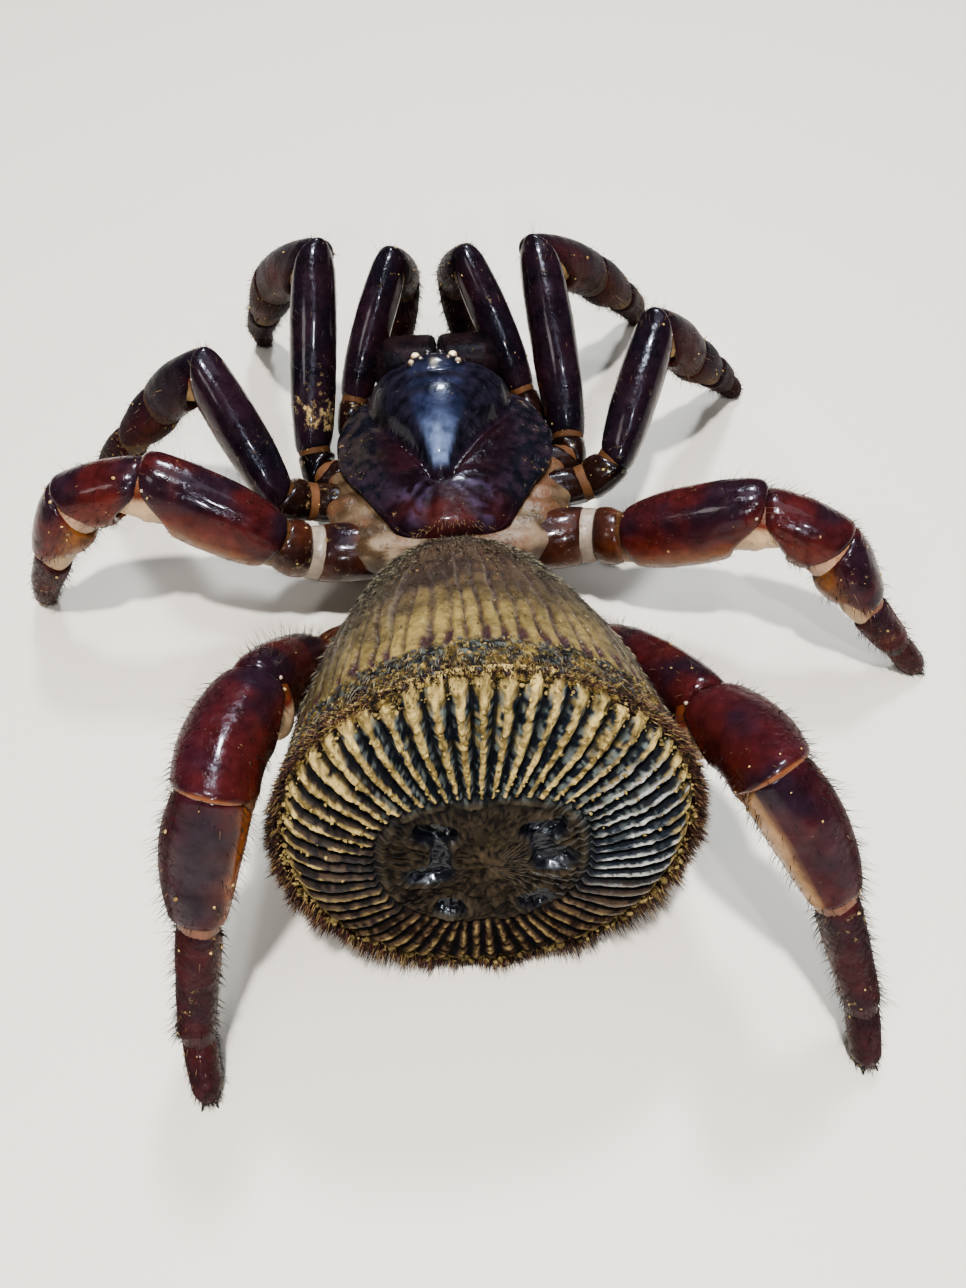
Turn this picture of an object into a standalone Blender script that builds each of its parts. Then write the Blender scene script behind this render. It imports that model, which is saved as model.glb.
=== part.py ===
"""Trapdoor spider with a ribbed abdominal disk: a still, life-size display model.

Metres, +Z up. The head points to -Y, the ribbed disk at the hind end to +Y, and +X is
the spider's left. The feet and the lower rim of the disk rest on z = 0, and the origin
is the middle of the bounding box at that level.
"""

import math

import bmesh
import bpy
from mathutils import Vector

MM = 0.001

# ---------------------------------------------------------------- driving sizes (mm)
GAP = 0.10                 # clear space between neighbouring pieces
SHIFT = (0.485, -4.145)      # working origin (middle of the carapace) to the model origin

CARAPACE_HALF_WIDTH = 5.7
CARAPACE_FRONT = -6.1      # y of the front edge
CARAPACE_REAR = 4.7        # y of the rear edge
CARAPACE_RIM_Z = 5.75      # height of the margin
CARAPACE_CREST_Z = 9.35    # height of the head region
THORAX_Z = 7.35            # height of the hind part

TUBERCLE_Y = -5.05         # eye tubercle
TUBERCLE_HALF = (1.7, 0.95)
TUBERCLE_HEIGHT = 0.35

CORE_BOTTOM_Z = 2.75       # underside (sternum)
CHELICERA_LENGTH = 4.2
FANG_LENGTH = 4.0

ABDOMEN_FRONT_Y = 6.25
DISK_CENTRE = (-0.3, 21.5, 7.8)
DISK_TILT = math.radians(13.0)
RIM_RADIUS = 7.9
DISK_RADIUS = 7.35
PLATE_OFFSET = -0.45       # the central plate sits below the middle of the disk
PLATE_HALF = (3.9, 3.4)
DOME_HEIGHT = 1.25
RIBS = 58

SIDES = 12                 # facets round a leg
PALP_SIDES = 10

# Leg pieces, in order: trochanter, femur, patella, tibia, metatarsus, tarsus.
LENGTHS = {
    1: (1.44, 9.7, 5.53, 5.14, 4.27, 2.64),
    2: (1.93, 6.94, 4.5, 4.18, 3.55, 2.29),
    3: (2.07, 6.59, 3.71, 3.44, 3.03, 2.44),
    4: (2.28, 9.32, 4.54, 5.62, 5.5, 2.91),
    0: (1.63, 7.4, 3.99, 4.39, 3.84),
}
# Where each coxa meets its trochanter: x to the side, y, z; leg 0 is the palp.
HIPS = {
    0: (5.02, -5.6, 4.4),
    1: (6.66, -2.25, 4.03),
    2: (7.41, -0.18, 4.27),
    3: (7.12, 3.54, 4.22),
    4: (4.8, 9.5, 4),
}
# Where each coxa starts, at the side of the sternum.
ROOTS = {0: (1.9, -3.7, 4.2), 1: (2.45, -2.0, 4.0), 2: (2.75, 0.2, 4.0), 3: (2.5, 3.6, 4.0), 4: (1.7, 5.6, 3.7)}
# Bearing and rise of each piece, in degrees. The bearing runs from straight out to the
# side (0) towards the head (90); the rise is the angle above the level.
POSE = {
    ("left", 1): ((68.6, 30.6), (98.3, 49), (53.6, -33.5), (65.4, -48.8), (70, -44.9), (83.7, -54.3)),
    ("right", 1): ((80.3, 16), (98.3, 44), (42.8, -32.5), (48.9, -41.1), (57.2, -41.3), (61.9, -49.1)),
    ("left", 2): ((-30.3, 39.4), (52.7, 42.4), (32.7, -39.4), (19.2, -48.7), (27.5, -47), (30.1, -43.4)),
    ("right", 2): ((6.7, 41), (62, 38.4), (40, -42), (45.7, -41.9), (48.3, -41.9), (29.7, -46.7)),
    ("left", 3): ((-14.4, 39.8), (14.2, 26.1), (0.5, -12), (-8.9, -56.9), (17.5, -60.4), (37.7, -61.6)),
    ("right", 3): ((-33.6, 20.7), (-15.1, 22.5), (-22.8, -16), (-41.6, -47.6), (-22.7, -45.5), (-20.4, -45.9)),
    ("left", 4): ((-38.4, 12.5), (-77.7, 46.1), (-77.6, 7.1), (-52.2, -64.8), (-69.5, -59.6), (-96.5, -42.3)),
    ("right", 4): ((-39, 8), (-71.0, 33.3), (-76.1, 23.9), (-43.2, -52.1), (-58.4, -56.9), (-80.8, -50.5)),
    ("left", 0): ((97.3, 35), (121, 47.1), (101.8, -41.6), (29, -81.9), (21, -82.8)),
    ("right", 0): ((107.3, 34.3), (121.7, 47), (102.2, -41.2), (27.5, -81.3), (22, -82.5)),
}
# Full width and depth of each piece: coxa, trochanter, femur, patella, tibia,
# metatarsus, tarsus.
GIRTH = {
    0: ((1.7, 2.1), (1.6, 2.0), (1.9, 2.3), (1.95, 2.2), (1.9, 2.1), (1.5, 1.6)),
    1: ((2.0, 2.5), (2.0, 2.4), (2.35, 3.0), (2.4, 2.6), (2.4, 2.5), (1.9, 1.9), (1.3, 1.3)),
    2: ((2.0, 2.5), (2.1, 2.4), (2.3, 2.9), (2.35, 2.5), (2.35, 2.4), (1.9, 1.9), (1.3, 1.3)),
    3: ((2.9, 2.9), (2.6, 2.8), (3.0, 4.1), (2.8, 3.0), (2.9, 2.9), (1.75, 1.8), (1.25, 1.3)),
    4: ((2.3, 2.6), (2.3, 2.5), (2.4, 3.2), (3.0, 2.9), (2.8, 2.6), (1.62, 1.72), (1.2, 1.3)),
}

COLOURS = {
    "carapace": ((0.045, 0.016, 0.022), 0.22),
    "leg_dark": ((0.040, 0.014, 0.020), 0.25),
    "leg_red": ((0.115, 0.022, 0.014), 0.27),
    "coxa": ((0.30, 0.11, 0.035), 0.35),
    "tarsus": ((0.065, 0.030, 0.018), 0.55),
    "abdomen": ((0.30, 0.22, 0.11), 0.7),
    "disk": ((0.10, 0.085, 0.06), 0.6),
    "eye": ((0.01, 0.008, 0.008), 0.05),
    "fang": ((0.03, 0.008, 0.006), 0.15),
    "sternum": ((0.20, 0.075, 0.03), 0.4),
}


# ---------------------------------------------------------------- helpers
def lerp(a, b, t):
    return a + (b - a) * t


def table(stops, t):
    """The value at t on a smooth run through (t, value) stops."""
    if t <= stops[0][0]:
        return stops[0][1]
    for (t0, v0), (t1, v1) in zip(stops, stops[1:]):
        if t <= t1:
            w = (t - t0) / (t1 - t0)
            w = w * w * (3 - 2 * w) * 0.5 + w * 0.5
            return lerp(v0, v1, w)
    return stops[-1][1]


def heading(side, bearing, rise):
    b, r = math.radians(bearing), math.radians(rise)
    s = 1.0 if side == "left" else -1.0
    return Vector((s * math.cos(b) * math.cos(r), -math.sin(b) * math.cos(r), math.sin(r)))


def mirrored(side, p):
    return Vector((p[0] if side == "left" else -p[0], p[1], p[2]))


def leg_joints(side, leg):
    """The middle of each joint, from the coxa's root to the end of the foot."""
    pts = [mirrored(side, ROOTS[leg]), mirrored(side, HIPS[leg])]
    for length, (bearing, rise) in zip(LENGTHS[leg], POSE[(side, leg)]):
        pts.append(pts[-1] + heading(side, bearing, rise) * length)
    pts[-1].z = 0.0
    return pts


def leg_frames(pts):
    """For each piece of a leg its direction, its side direction and its upper side."""
    dirs = [(b - a).normalized() for a, b in zip(pts, pts[1:])]
    first = 2 if len(dirs) > 2 else 0
    right = dirs[first].cross(Vector((0, 0, 1))).normalized()
    rights = {first: right}
    for order in (range(first + 1, len(dirs)), range(first - 1, -1, -1)):
        r = right
        for i in order:
            r = (r - dirs[i] * r.dot(dirs[i])).normalized()
            rights[i] = r
    return [(d, rights[i], rights[i].cross(d).normalized()) for i, d in enumerate(dirs)]


def material(name):
    colour, rough = COLOURS[name]
    mat = bpy.data.materials.new(name)
    mat.use_nodes = True
    shader = mat.node_tree.nodes["Principled BSDF"]
    shader.inputs["Base Color"].default_value = (*colour, 1.0)
    shader.inputs["Roughness"].default_value = rough
    shader.inputs["Metallic"].default_value = 0.0
    return mat


def add(name, bm, colour, place=(0.0, 0.0, 0.0)):
    """Close the mesh's record, in metres, as one object placed at `place` (mm)."""
    bmesh.ops.recalc_face_normals(bm, faces=bm.faces[:])
    here = Vector(place)
    shift = Vector((SHIFT[0], SHIFT[1], 0.0))
    for v in bm.verts:
        v.co = (v.co - here) * MM
    mesh = bpy.data.meshes.new(name)
    bm.to_mesh(mesh)
    bm.free()
    mesh.shade_smooth()
    mesh.set_sharp_from_angle(angle=math.radians(50))
    mesh.materials.append(material(colour))
    mesh.materials[0].name = name
    obj = bpy.data.objects.new(name, mesh)
    bpy.context.scene.collection.objects.link(obj)
    obj.location = (here + shift) * MM
    return obj


def skin_rings(rings, pole_start=None, pole_end=None):
    """A closed mesh through loops of points, each end closed by a point or a flat face."""
    bm = bmesh.new()
    made = [[bm.verts.new(p) for p in ring] for ring in rings]
    n = len(made[0])
    for a, b in zip(made, made[1:]):
        for i in range(n):
            j = (i + 1) % n
            bm.faces.new((a[i], a[j], b[j], b[i]))
    for ring, pole in ((made[0], pole_start), (made[-1], pole_end)):
        if pole is None:
            bm.faces.new(ring)
        else:
            tip = bm.verts.new(pole)
            for i in range(n):
                bm.faces.new((ring[i], ring[(i + 1) % n], tip))
    return bm


def reach(o, d, normal):
    """How far along d, from beside the joint at o, the plane through the joint lies."""
    return -o.dot(normal) / max(0.3, d.dot(normal))


def limb(pts, frames, first, stations, girths, before=None, after=None, floor=False,
         sides=SIDES):
    """One piece of a leg as a mesh, along one or two lengths between joints.

    stations gives, for each length, (position, share of the full girth). before and
    after are the directions of the neighbouring pieces, whose mitre planes end it.
    """
    n = len(stations)
    angles = [2 * math.pi * (k + 0.5) / sides for k in range(sides)]
    rings = []
    for s in range(n):
        a, b = pts[first + s], pts[first + s + 1]
        d, right, up = frames[first + s]
        length = (b - a).length
        prev = frames[first + s - 1][0] if s > 0 else before
        nxt = frames[first + s + 1][0] if s < n - 1 else after
        n0 = (prev + d).normalized() if prev is not None else d
        n1 = (d + nxt).normalized() if nxt is not None else d
        if floor and s == n - 1:
            n1 = Vector((0.0, 0.0, -1.0))
        g0 = 0.0 if s > 0 else GAP
        g1 = 0.0 if s < n - 1 else GAP
        width, depth = girths[s]
        for k, (t, share) in enumerate(stations[s]):
            if s > 0 and k == 0:
                continue
            ring = []
            for ang in angles:
                ca, sa = math.cos(ang), math.sin(ang)
                full = right * (ca * width * 0.5) + up * (sa * depth * 0.5)
                if s > 0:
                    start = reach(full * stations[s][0][1], d, n0)
                else:
                    start = max(reach(full * sh, d, n0) for sh in (stations[s][0][1], 1.0)) + g0 * 0.5
                if s < n - 1 or floor:
                    end = length + reach(full * stations[s][-1][1], d, n1)
                else:
                    end = length + min(reach(full * sh, d, n1) for sh in (stations[s][-1][1], 1.0)) - g1 * 0.5
                p = a + full * share + d * lerp(start, end, t)
                if floor and p.z < 0.0:
                    p.z = 0.0
                ring.append(p)
            rings.append(ring)
    return skin_rings(rings)


# ---------------------------------------------------------------- legs
SHARE_COXA = ((0.0, 0.50), (0.35, 0.88), (1.0, 0.93))
SHARE_TROCHANTER = ((0.0, 0.93), (0.45, 1.0), (0.85, 0.95), (1.0, 0.72))
SHARE_FEMUR = ((0.0, 0.66), (0.07, 0.84), (0.3, 0.97), (0.62, 1.0), (0.9, 0.96), (1.0, 0.72))
SHARE_PATELLA = ((0.0, 0.74), (0.1, 0.94), (0.6, 1.0), (1.0, 0.92))
SHARE_TIBIA = ((0.0, 0.92), (0.35, 1.0), (0.8, 0.94), (1.0, 0.74))
SHARE_METATARSUS = ((0.0, 0.78), (0.15, 1.0), (0.6, 0.92), (1.0, 0.80))
SHARE_TARSUS = ((0.0, 1.05), (0.5, 1.0), (0.86, 0.86), (1.0, 0.5))


def make_leg(side, leg):
    pts = leg_joints(side, leg)
    frames = leg_frames(pts)
    girth = GIRTH[leg]
    sides = PALP_SIDES if leg == 0 else SIDES
    dark = "leg_dark" if leg in (0, 1, 2) else "leg_red"
    stem = ("palp_" if leg == 0 else "leg%d_" % leg) + side
    add(stem + "_coxa", limb(pts, frames, 0, (SHARE_COXA, SHARE_TROCHANTER), girth[0:2],
                             None, frames[2][0], sides=sides), "coxa")
    add(stem + "_femur", limb(pts, frames, 2, (SHARE_FEMUR,), girth[2:3],
                              frames[1][0], frames[3][0], sides=sides), dark)
    add(stem + "_tibia", limb(pts, frames, 3, (SHARE_PATELLA, SHARE_TIBIA), girth[3:5],
                              frames[2][0], frames[5][0], sides=sides), dark)
    if leg == 0:
        add(stem + "_tarsus", limb(pts, frames, 5, (SHARE_TARSUS,), girth[5:6],
                                   frames[4][0], None, True, sides), "tarsus")
    else:
        add(stem + "_foot", limb(pts, frames, 5, (SHARE_METATARSUS, SHARE_TARSUS), girth[5:7],
                                 frames[4][0], None, True, sides), "tarsus")


# ---------------------------------------------------------------- body
def carapace_half_width(y):
    return CARAPACE_HALF_WIDTH * table(((CARAPACE_FRONT, 0.74), (-5.4, 0.82), (-4.0, 0.94), (-2.5, 1.0), (-1.2, 0.99), (0.0, 0.92),
                                        (1.5, 0.755), (3.2, 0.585), (4.4, 0.47), (CARAPACE_REAR, 0.40)), y)


def carapace_height(x, y):
    """Upper surface of the carapace: a raised head region that narrows back to the fovea."""
    w = carapace_half_width(y)
    u = min(1.0, abs(x) / w)
    thorax = lerp(CARAPACE_RIM_Z + 0.25, THORAX_Z, (1 - u ** 2.2) * table(((-6, 1.0), (1.5, 1.0), (CARAPACE_REAR, 0.55)), y))
    half = table(((CARAPACE_FRONT, 4.2), (-3.5, 3.7), (-0.8, 1.9), (1.9, 0.5)), y)
    crest = table(((CARAPACE_FRONT, 8.9), (-5.0, 9.2), (-3.2, CARAPACE_CREST_Z), (-0.5, 8.7), (1.9, 7.5), (2.6, 7.3)), y)
    v = min(1.0, abs(x) / half)
    head = lerp(thorax, crest, (1 - v * v) ** 0.8) if y < 2.2 else thorax
    bump = 1 - (x / TUBERCLE_HALF[0]) ** 2 - ((y - TUBERCLE_Y) / TUBERCLE_HALF[1]) ** 2
    return max(thorax, head) + TUBERCLE_HEIGHT * max(0.0, bump)


def make_carapace():
    ys = [CARAPACE_FRONT, -5.8, -5.0, -4.2, -3.2, -2.2, -1.2, -0.2, 0.8, 1.7, 2.6, 3.5, 4.3, CARAPACE_REAR]
    across = 14
    rings = []
    for y in ys:
        w = carapace_half_width(y)
        top = []
        for k in range(across + 1):
            x = w * math.sin(math.pi * (k / across - 0.5))
            top.append(Vector((x, y, carapace_height(x, y))))
        low = [Vector((w * 0.985, y, CARAPACE_RIM_Z)), Vector((w * 0.45, y, CARAPACE_RIM_Z - 0.1)),
               Vector((-w * 0.45, y, CARAPACE_RIM_Z - 0.1)), Vector((-w * 0.985, y, CARAPACE_RIM_Z))]
        rings.append(top + low)
    add("carapace", skin_rings(rings), "carapace")


EYES = {
    "eye_front_middle": (0.33, -0.30, 0.20),
    "eye_front_side": (1.02, -0.34, 0.26),
    "eye_rear_side": (1.06, 0.26, 0.23),
    "eye_rear_middle": (0.66, 0.22, 0.17),
}


def make_eyes():
    for name, (x, dy, r) in EYES.items():
        for side, s in (("left", 1), ("right", -1)):
            cx, cy = s * x, TUBERCLE_Y + dy
            z0 = max(carapace_height(cx + dx * r, cy + dz * r) for dx in (-1, 0, 1) for dz in (-1, 0, 1)) + 0.04
            rings = []
            for t in (0.0, 0.45, 0.8):
                rr, zz = r * math.cos(t * math.pi / 2), r * 0.8 * math.sin(t * math.pi / 2)
                rings.append([Vector((cx + rr * math.cos(2 * math.pi * k / 8),
                                      cy + rr * math.sin(2 * math.pi * k / 8), z0 + zz)) for k in range(8)])
            bm = skin_rings(rings, None, Vector((cx, cy, z0 + r * 0.8)))
            add(name + "_" + side, bm, "eye")


def make_core():
    """The underside of the front body: sternum and labium, up to the carapace."""
    full = CARAPACE_RIM_Z - 0.1 - GAP
    shape = ((-4.6, 0.7, 3.3, full), (-3.9, 1.0, 3.05, full), (-2.4, 1.7, 2.85, full), (0.0, 2.05, CORE_BOTTOM_Z, full),
             (2.4, 1.85, 2.8, full), (4.4, 1.4, 2.9, full), (5.0, 1.15, 3.0, 4.6), (6.2, 0.7, 3.1, 4.1))
    rings = []
    for y, w, z, top in shape:
        ring = []
        for k in range(12):
            ang = 2 * math.pi * (k + 0.5) / 12
            x = w * math.copysign(abs(math.cos(ang)) ** 0.6, math.cos(ang))
            zz = (top + z) / 2 + (top - z) / 2 * math.copysign(abs(math.sin(ang)) ** 0.6, math.sin(ang))
            ring.append(Vector((x, y, min(zz, top))))
        rings.append(ring)
    add("sternum", skin_rings(rings), "sternum")


def make_pedicel():
    """The short stalk between the front body and the abdomen."""
    rings = []
    for y, z, r in ((4.95, 5.15, 0.42), (5.5, 5.45, 0.5), (ABDOMEN_FRONT_Y - GAP, 6.0, 0.62)):
        rings.append([Vector((r * math.cos(2 * math.pi * k / 10), y, z + r * 0.8 * math.sin(2 * math.pi * k / 10)))
                      for k in range(10)])
    add("pedicel", skin_rings(rings), "sternum")


def make_chelicerae():
    for side, s in (("left", 1), ("right", -1)):
        rings = []
        for t in (0.0, 0.15, 0.4, 0.7, 0.9, 1.0):
            y = CARAPACE_FRONT - GAP - t * CHELICERA_LENGTH
            half = table(((0, 1.6), (0.15, 1.62), (0.5, 1.45), (0.9, 1.2), (1.0, 0.85)), t)
            top = table(((0, 8.4), (0.3, 8.4), (0.8, 7.3), (1.0, 6.0)), t)
            low = table(((0, 4.3), (0.5, 3.7), (1.0, 4.4)), t)
            cx = s * (half + 0.5 * GAP)
            ring = []
            for k in range(12):
                ang = 2 * math.pi * (k + 0.5) / 12
                ring.append(Vector((cx + half * math.copysign(abs(math.cos(ang)) ** 0.95, math.cos(ang)), y,
                                    (top + low) / 2 + (top - low) / 2 * math.copysign(abs(math.sin(ang)) ** 0.95, math.sin(ang)))))
            rings.append(ring)
        add("chelicera_" + side, skin_rings(rings), "leg_dark")
        rings = []
        for k in range(7):
            t = k / 6
            y = CARAPACE_FRONT - CHELICERA_LENGTH + 0.15 + t * FANG_LENGTH * 0.9
            x = s * (2.35 - 0.7 * t * t)
            z = 3.2 - 1.15 * math.sin(t * math.pi * 0.62) - 0.1 * t
            r = lerp(0.55, 0.09, t ** 0.8)
            rings.append([Vector((x + r * math.cos(2 * math.pi * q / 8), y + 0.35 * r * math.sin(2 * math.pi * q / 8),
                                  z + r * math.sin(2 * math.pi * q / 8))) for q in range(8)])
        add("fang_" + side, skin_rings(rings), "fang")


DISK_NORMAL = Vector((0.0, math.cos(DISK_TILT), math.sin(DISK_TILT)))
DISK_UP = Vector((0.0, -math.sin(DISK_TILT), math.cos(DISK_TILT)))


def make_abdomen():
    """A sac that widens from the pedicel to the rim of the disk."""
    width = ((0.0, 1.15), (0.04, 2.3), (0.1, 3.2), (0.2, 4.2), (0.31, 4.85), (0.43, 5.6), (0.55, 6.3), (0.7, 6.95), (0.83, 7.4), (1.0, RIM_RADIUS))
    top = ((0.0, 7.3), (0.04, 8.2), (0.1, 9.0), (0.2, 10.1), (0.31, 11.2), (0.55, 13.3), (0.785, 14.7), (0.92, 15.25), (1.0, 15.5))
    low = ((0.0, 5.0), (0.06, 4.7), (0.14, 4.3), (0.28, 3.6), (0.47, 2.7), (0.7, 1.5), (0.86, 0.6), (0.96, -0.05), (1.0, -0.15))
    aside = ((0.0, 0.0), (0.3, -0.12), (1.0, DISK_CENTRE[0]))
    n = 36
    rings = []
    end = Vector(DISK_CENTRE)
    for t in (0.0, 0.03, 0.08, 0.16, 0.28, 0.42, 0.56, 0.7, 0.82, 0.92, 0.975, 1.0):
        w, hi, lo = table(width, t), table(top, t), table(low, t)
        tilt = DISK_TILT * t ** 1.5
        cy = lerp(ABDOMEN_FRONT_Y, end.y, t)
        cz = (hi + lo) / 2
        h = (hi - lo) / 2 / math.cos(tilt)
        ring = []
        for k in range(n):
            ang = 2 * math.pi * (k + 0.5) / n
            p = Vector((table(aside, t) + w * math.cos(ang), cy - h * math.sin(ang) * math.sin(tilt),
                        cz + h * math.sin(ang) * math.cos(tilt)))
            p.z = max(p.z, 0.0)
            ring.append(p)
        rings.append(ring)
    add("abdomen", skin_rings(rings), "abdomen")


def disk_rise(share):
    """Height of the disk's surface above its base, from the rim (0) to the plate (1)."""
    return table(((0.0, 0.45), (0.2, 0.95), (0.55, DOME_HEIGHT), (1.0, DOME_HEIGHT + 0.1)), share)


def make_disk():
    """The hard end plate: ribs that run from the rim to an oval plate set low."""
    n = RIBS * 2
    base = Vector(DISK_CENTRE) + DISK_NORMAL * GAP

    def at(x, up, out):
        p = base + Vector((1, 0, 0)) * x + DISK_UP * up + DISK_NORMAL * out
        p.z = max(p.z, 0.0)
        return p

    def spot(k, share):
        ang = 2 * math.pi * k / n
        ix, iy = PLATE_HALF[0] * math.sin(ang), PLATE_OFFSET + PLATE_HALF[1] * math.cos(ang)
        ox, oy = DISK_RADIUS * math.sin(ang), DISK_RADIUS * math.cos(ang)
        return lerp(ox, ix, share), lerp(oy, iy, share)

    rings = [[at(*spot(k, 0.0), 0.0) for k in range(n)]]
    for share, relief in ((0.0, 0.16), (0.3, 0.2), (0.75, 0.16), (1.0, 0.0)):
        rings.append([at(*spot(k, share), disk_rise(share) + (relief if k % 2 else -relief)) for k in range(n)])
    inner = [at(PLATE_HALF[0] * 0.93 * math.sin(2 * math.pi * k / n),
                PLATE_OFFSET + PLATE_HALF[1] * 0.93 * math.cos(2 * math.pi * k / n), DOME_HEIGHT - 0.1) for k in range(n)]
    rings.append(inner)
    add("abdominal_disk", skin_rings(rings), "disk")


def make_spinnerets():
    for side, s in (("left", 1), ("right", -1)):
        rings = []
        for t, r in ((0.0, 0.30), (0.4, 0.34), (0.8, 0.28), (1.0, 0.16)):
            y = 14.6 + 2.0 * t
            rings.append([Vector((s * 0.85 + r * math.cos(2 * math.pi * k / 10), y,
                                  0.62 + r * math.sin(2 * math.pi * k / 10))) for k in range(10)])
        add("spinneret_" + side, skin_rings(rings), "abdomen")


def main():
    for obj in list(bpy.data.objects):
        bpy.data.objects.remove(obj, do_unlink=True)
    make_carapace()
    make_eyes()
    make_core()
    make_pedicel()
    make_chelicerae()
    make_abdomen()
    make_disk()
    make_spinnerets()
    for side in ("left", "right"):
        for leg in (0, 1, 2, 3, 4):
            make_leg(side, leg)


main()
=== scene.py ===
"""Looks of the trapdoor spider display model: skin, shell plates, coat, floor, light and camera.

Lengths in this file are in millimetres in the working frame of the solids (origin in the
middle of the carapace, head to -Y, +Z up) and become metres, shifted by SHIFT, in a mesh.
"""
import math

import bpy
import numpy as np
from mathutils import Matrix, Vector


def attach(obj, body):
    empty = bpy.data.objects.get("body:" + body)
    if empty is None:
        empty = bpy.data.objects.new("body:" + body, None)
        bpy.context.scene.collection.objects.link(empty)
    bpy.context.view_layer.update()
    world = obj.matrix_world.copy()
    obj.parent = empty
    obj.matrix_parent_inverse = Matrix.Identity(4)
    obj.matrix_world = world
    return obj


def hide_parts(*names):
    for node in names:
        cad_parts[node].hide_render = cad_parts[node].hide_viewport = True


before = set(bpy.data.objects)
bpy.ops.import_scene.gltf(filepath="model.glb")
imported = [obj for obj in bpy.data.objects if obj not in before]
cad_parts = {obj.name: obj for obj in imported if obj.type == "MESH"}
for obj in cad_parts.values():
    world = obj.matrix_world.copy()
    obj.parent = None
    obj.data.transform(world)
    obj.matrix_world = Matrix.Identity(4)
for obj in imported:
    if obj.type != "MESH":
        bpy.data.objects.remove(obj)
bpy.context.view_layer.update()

MM = 0.001
SHIFT = np.array((0.485, -4.145, 0.0))

# ------------------------------------------------------------------ sizes, as in the solids
CARAPACE_HALF_WIDTH = 5.7
CARAPACE_FRONT = -6.1
CARAPACE_REAR = 4.7
CARAPACE_RIM_Z = 5.75
CARAPACE_CREST_Z = 9.35
THORAX_Z = 7.35
TUBERCLE_Y = -5.05
ABDOMEN_FRONT_Y = 6.25
DISK_CENTRE = np.array((-0.3, 21.5, 7.8))
DISK_TILT = math.radians(13.0)
RIM_RADIUS = 7.9
DISK_RADIUS = 7.35
PLATE_CENTRE = (0.27, -0.42)
PLATE_HALF = (3.87, 3.37)
RIBS = 58
# Leg pieces, in order: trochanter, femur, patella, tibia, metatarsus, tarsus.
LENGTHS = {
    1: (1.44, 9.7, 5.53, 5.14, 4.27, 2.64),
    2: (1.93, 6.94, 4.5, 4.18, 3.55, 2.29),
    3: (2.07, 6.59, 3.71, 3.44, 3.03, 2.44),
    4: (2.28, 9.32, 4.54, 5.62, 5.5, 2.91),
    0: (1.63, 7.4, 3.99, 4.39, 3.84),
}
# Where each coxa meets its trochanter: x to the side, y, z; leg 0 is the palp.
HIPS = {
    0: (5.02, -5.6, 4.4),
    1: (6.66, -2.25, 4.03),
    2: (7.41, -0.18, 4.27),
    3: (7.12, 3.54, 4.22),
    4: (4.8, 9.5, 4),
}
# Where each coxa starts, at the side of the sternum.
ROOTS = {0: (1.9, -3.7, 4.2), 1: (2.45, -2.0, 4.0), 2: (2.75, 0.2, 4.0), 3: (2.5, 3.6, 4.0), 4: (1.7, 5.6, 3.7)}
# Bearing and rise of each piece, in degrees. The bearing runs from straight out to the
# side (0) towards the head (90); the rise is the angle above the level.
POSE = {
    ("left", 1): ((68.6, 30.6), (98.3, 49), (53.6, -33.5), (65.4, -48.8), (70, -44.9), (83.7, -54.3)),
    ("right", 1): ((80.3, 16), (98.3, 44), (42.8, -32.5), (48.9, -41.1), (57.2, -41.3), (61.9, -49.1)),
    ("left", 2): ((-30.3, 39.4), (52.7, 42.4), (32.7, -39.4), (19.2, -48.7), (27.5, -47), (30.1, -43.4)),
    ("right", 2): ((6.7, 41), (62, 38.4), (40, -42), (45.7, -41.9), (48.3, -41.9), (29.7, -46.7)),
    ("left", 3): ((-14.4, 39.8), (14.2, 26.1), (0.5, -12), (-8.9, -56.9), (17.5, -60.4), (37.7, -61.6)),
    ("right", 3): ((-33.6, 20.7), (-15.1, 22.5), (-22.8, -16), (-41.6, -47.6), (-22.7, -45.5), (-20.4, -45.9)),
    ("left", 4): ((-38.4, 12.5), (-77.7, 46.1), (-77.6, 7.1), (-52.2, -64.8), (-69.5, -59.6), (-96.5, -42.3)),
    ("right", 4): ((-39, 8), (-71.0, 33.3), (-76.1, 23.9), (-43.2, -52.1), (-58.4, -56.9), (-80.8, -50.5)),
    ("left", 0): ((97.3, 35), (121, 47.1), (101.8, -41.6), (29, -81.9), (21, -82.8)),
    ("right", 0): ((107.3, 34.3), (121.7, 47), (102.2, -41.2), (27.5, -81.3), (22, -82.5)),
}
# Full width and depth of each piece: coxa, trochanter, femur, patella, tibia,
# metatarsus, tarsus.
GIRTH = {
    0: ((1.7, 2.1), (1.6, 2.0), (1.9, 2.3), (1.95, 2.2), (1.9, 2.1), (1.5, 1.6)),
    1: ((2.0, 2.5), (2.0, 2.4), (2.35, 3.0), (2.4, 2.6), (2.4, 2.5), (1.9, 1.9), (1.3, 1.3)),
    2: ((2.0, 2.5), (2.1, 2.4), (2.3, 2.9), (2.35, 2.5), (2.35, 2.4), (1.9, 1.9), (1.3, 1.3)),
    3: ((2.9, 2.9), (2.6, 2.8), (3.0, 4.1), (2.8, 3.0), (2.9, 2.9), (1.75, 1.8), (1.25, 1.3)),
    4: ((2.3, 2.6), (2.3, 2.5), (2.4, 3.2), (3.0, 2.9), (2.8, 2.6), (1.62, 1.72), (1.2, 1.3)),
}

DISK_N = np.array((0.0, math.cos(DISK_TILT), math.sin(DISK_TILT)))
DISK_U = np.array((0.0, -math.sin(DISK_TILT), math.cos(DISK_TILT)))
DISK_X = np.array((1.0, 0.0, 0.0))


# ------------------------------------------------------------------ small helpers
def lerp(a, b, t):
    return a + (b - a) * t


def smooth(x, a, b):
    t = np.clip((x - a) / (b - a), 0.0, 1.0)
    return t * t * (3 - 2 * t)


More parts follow.
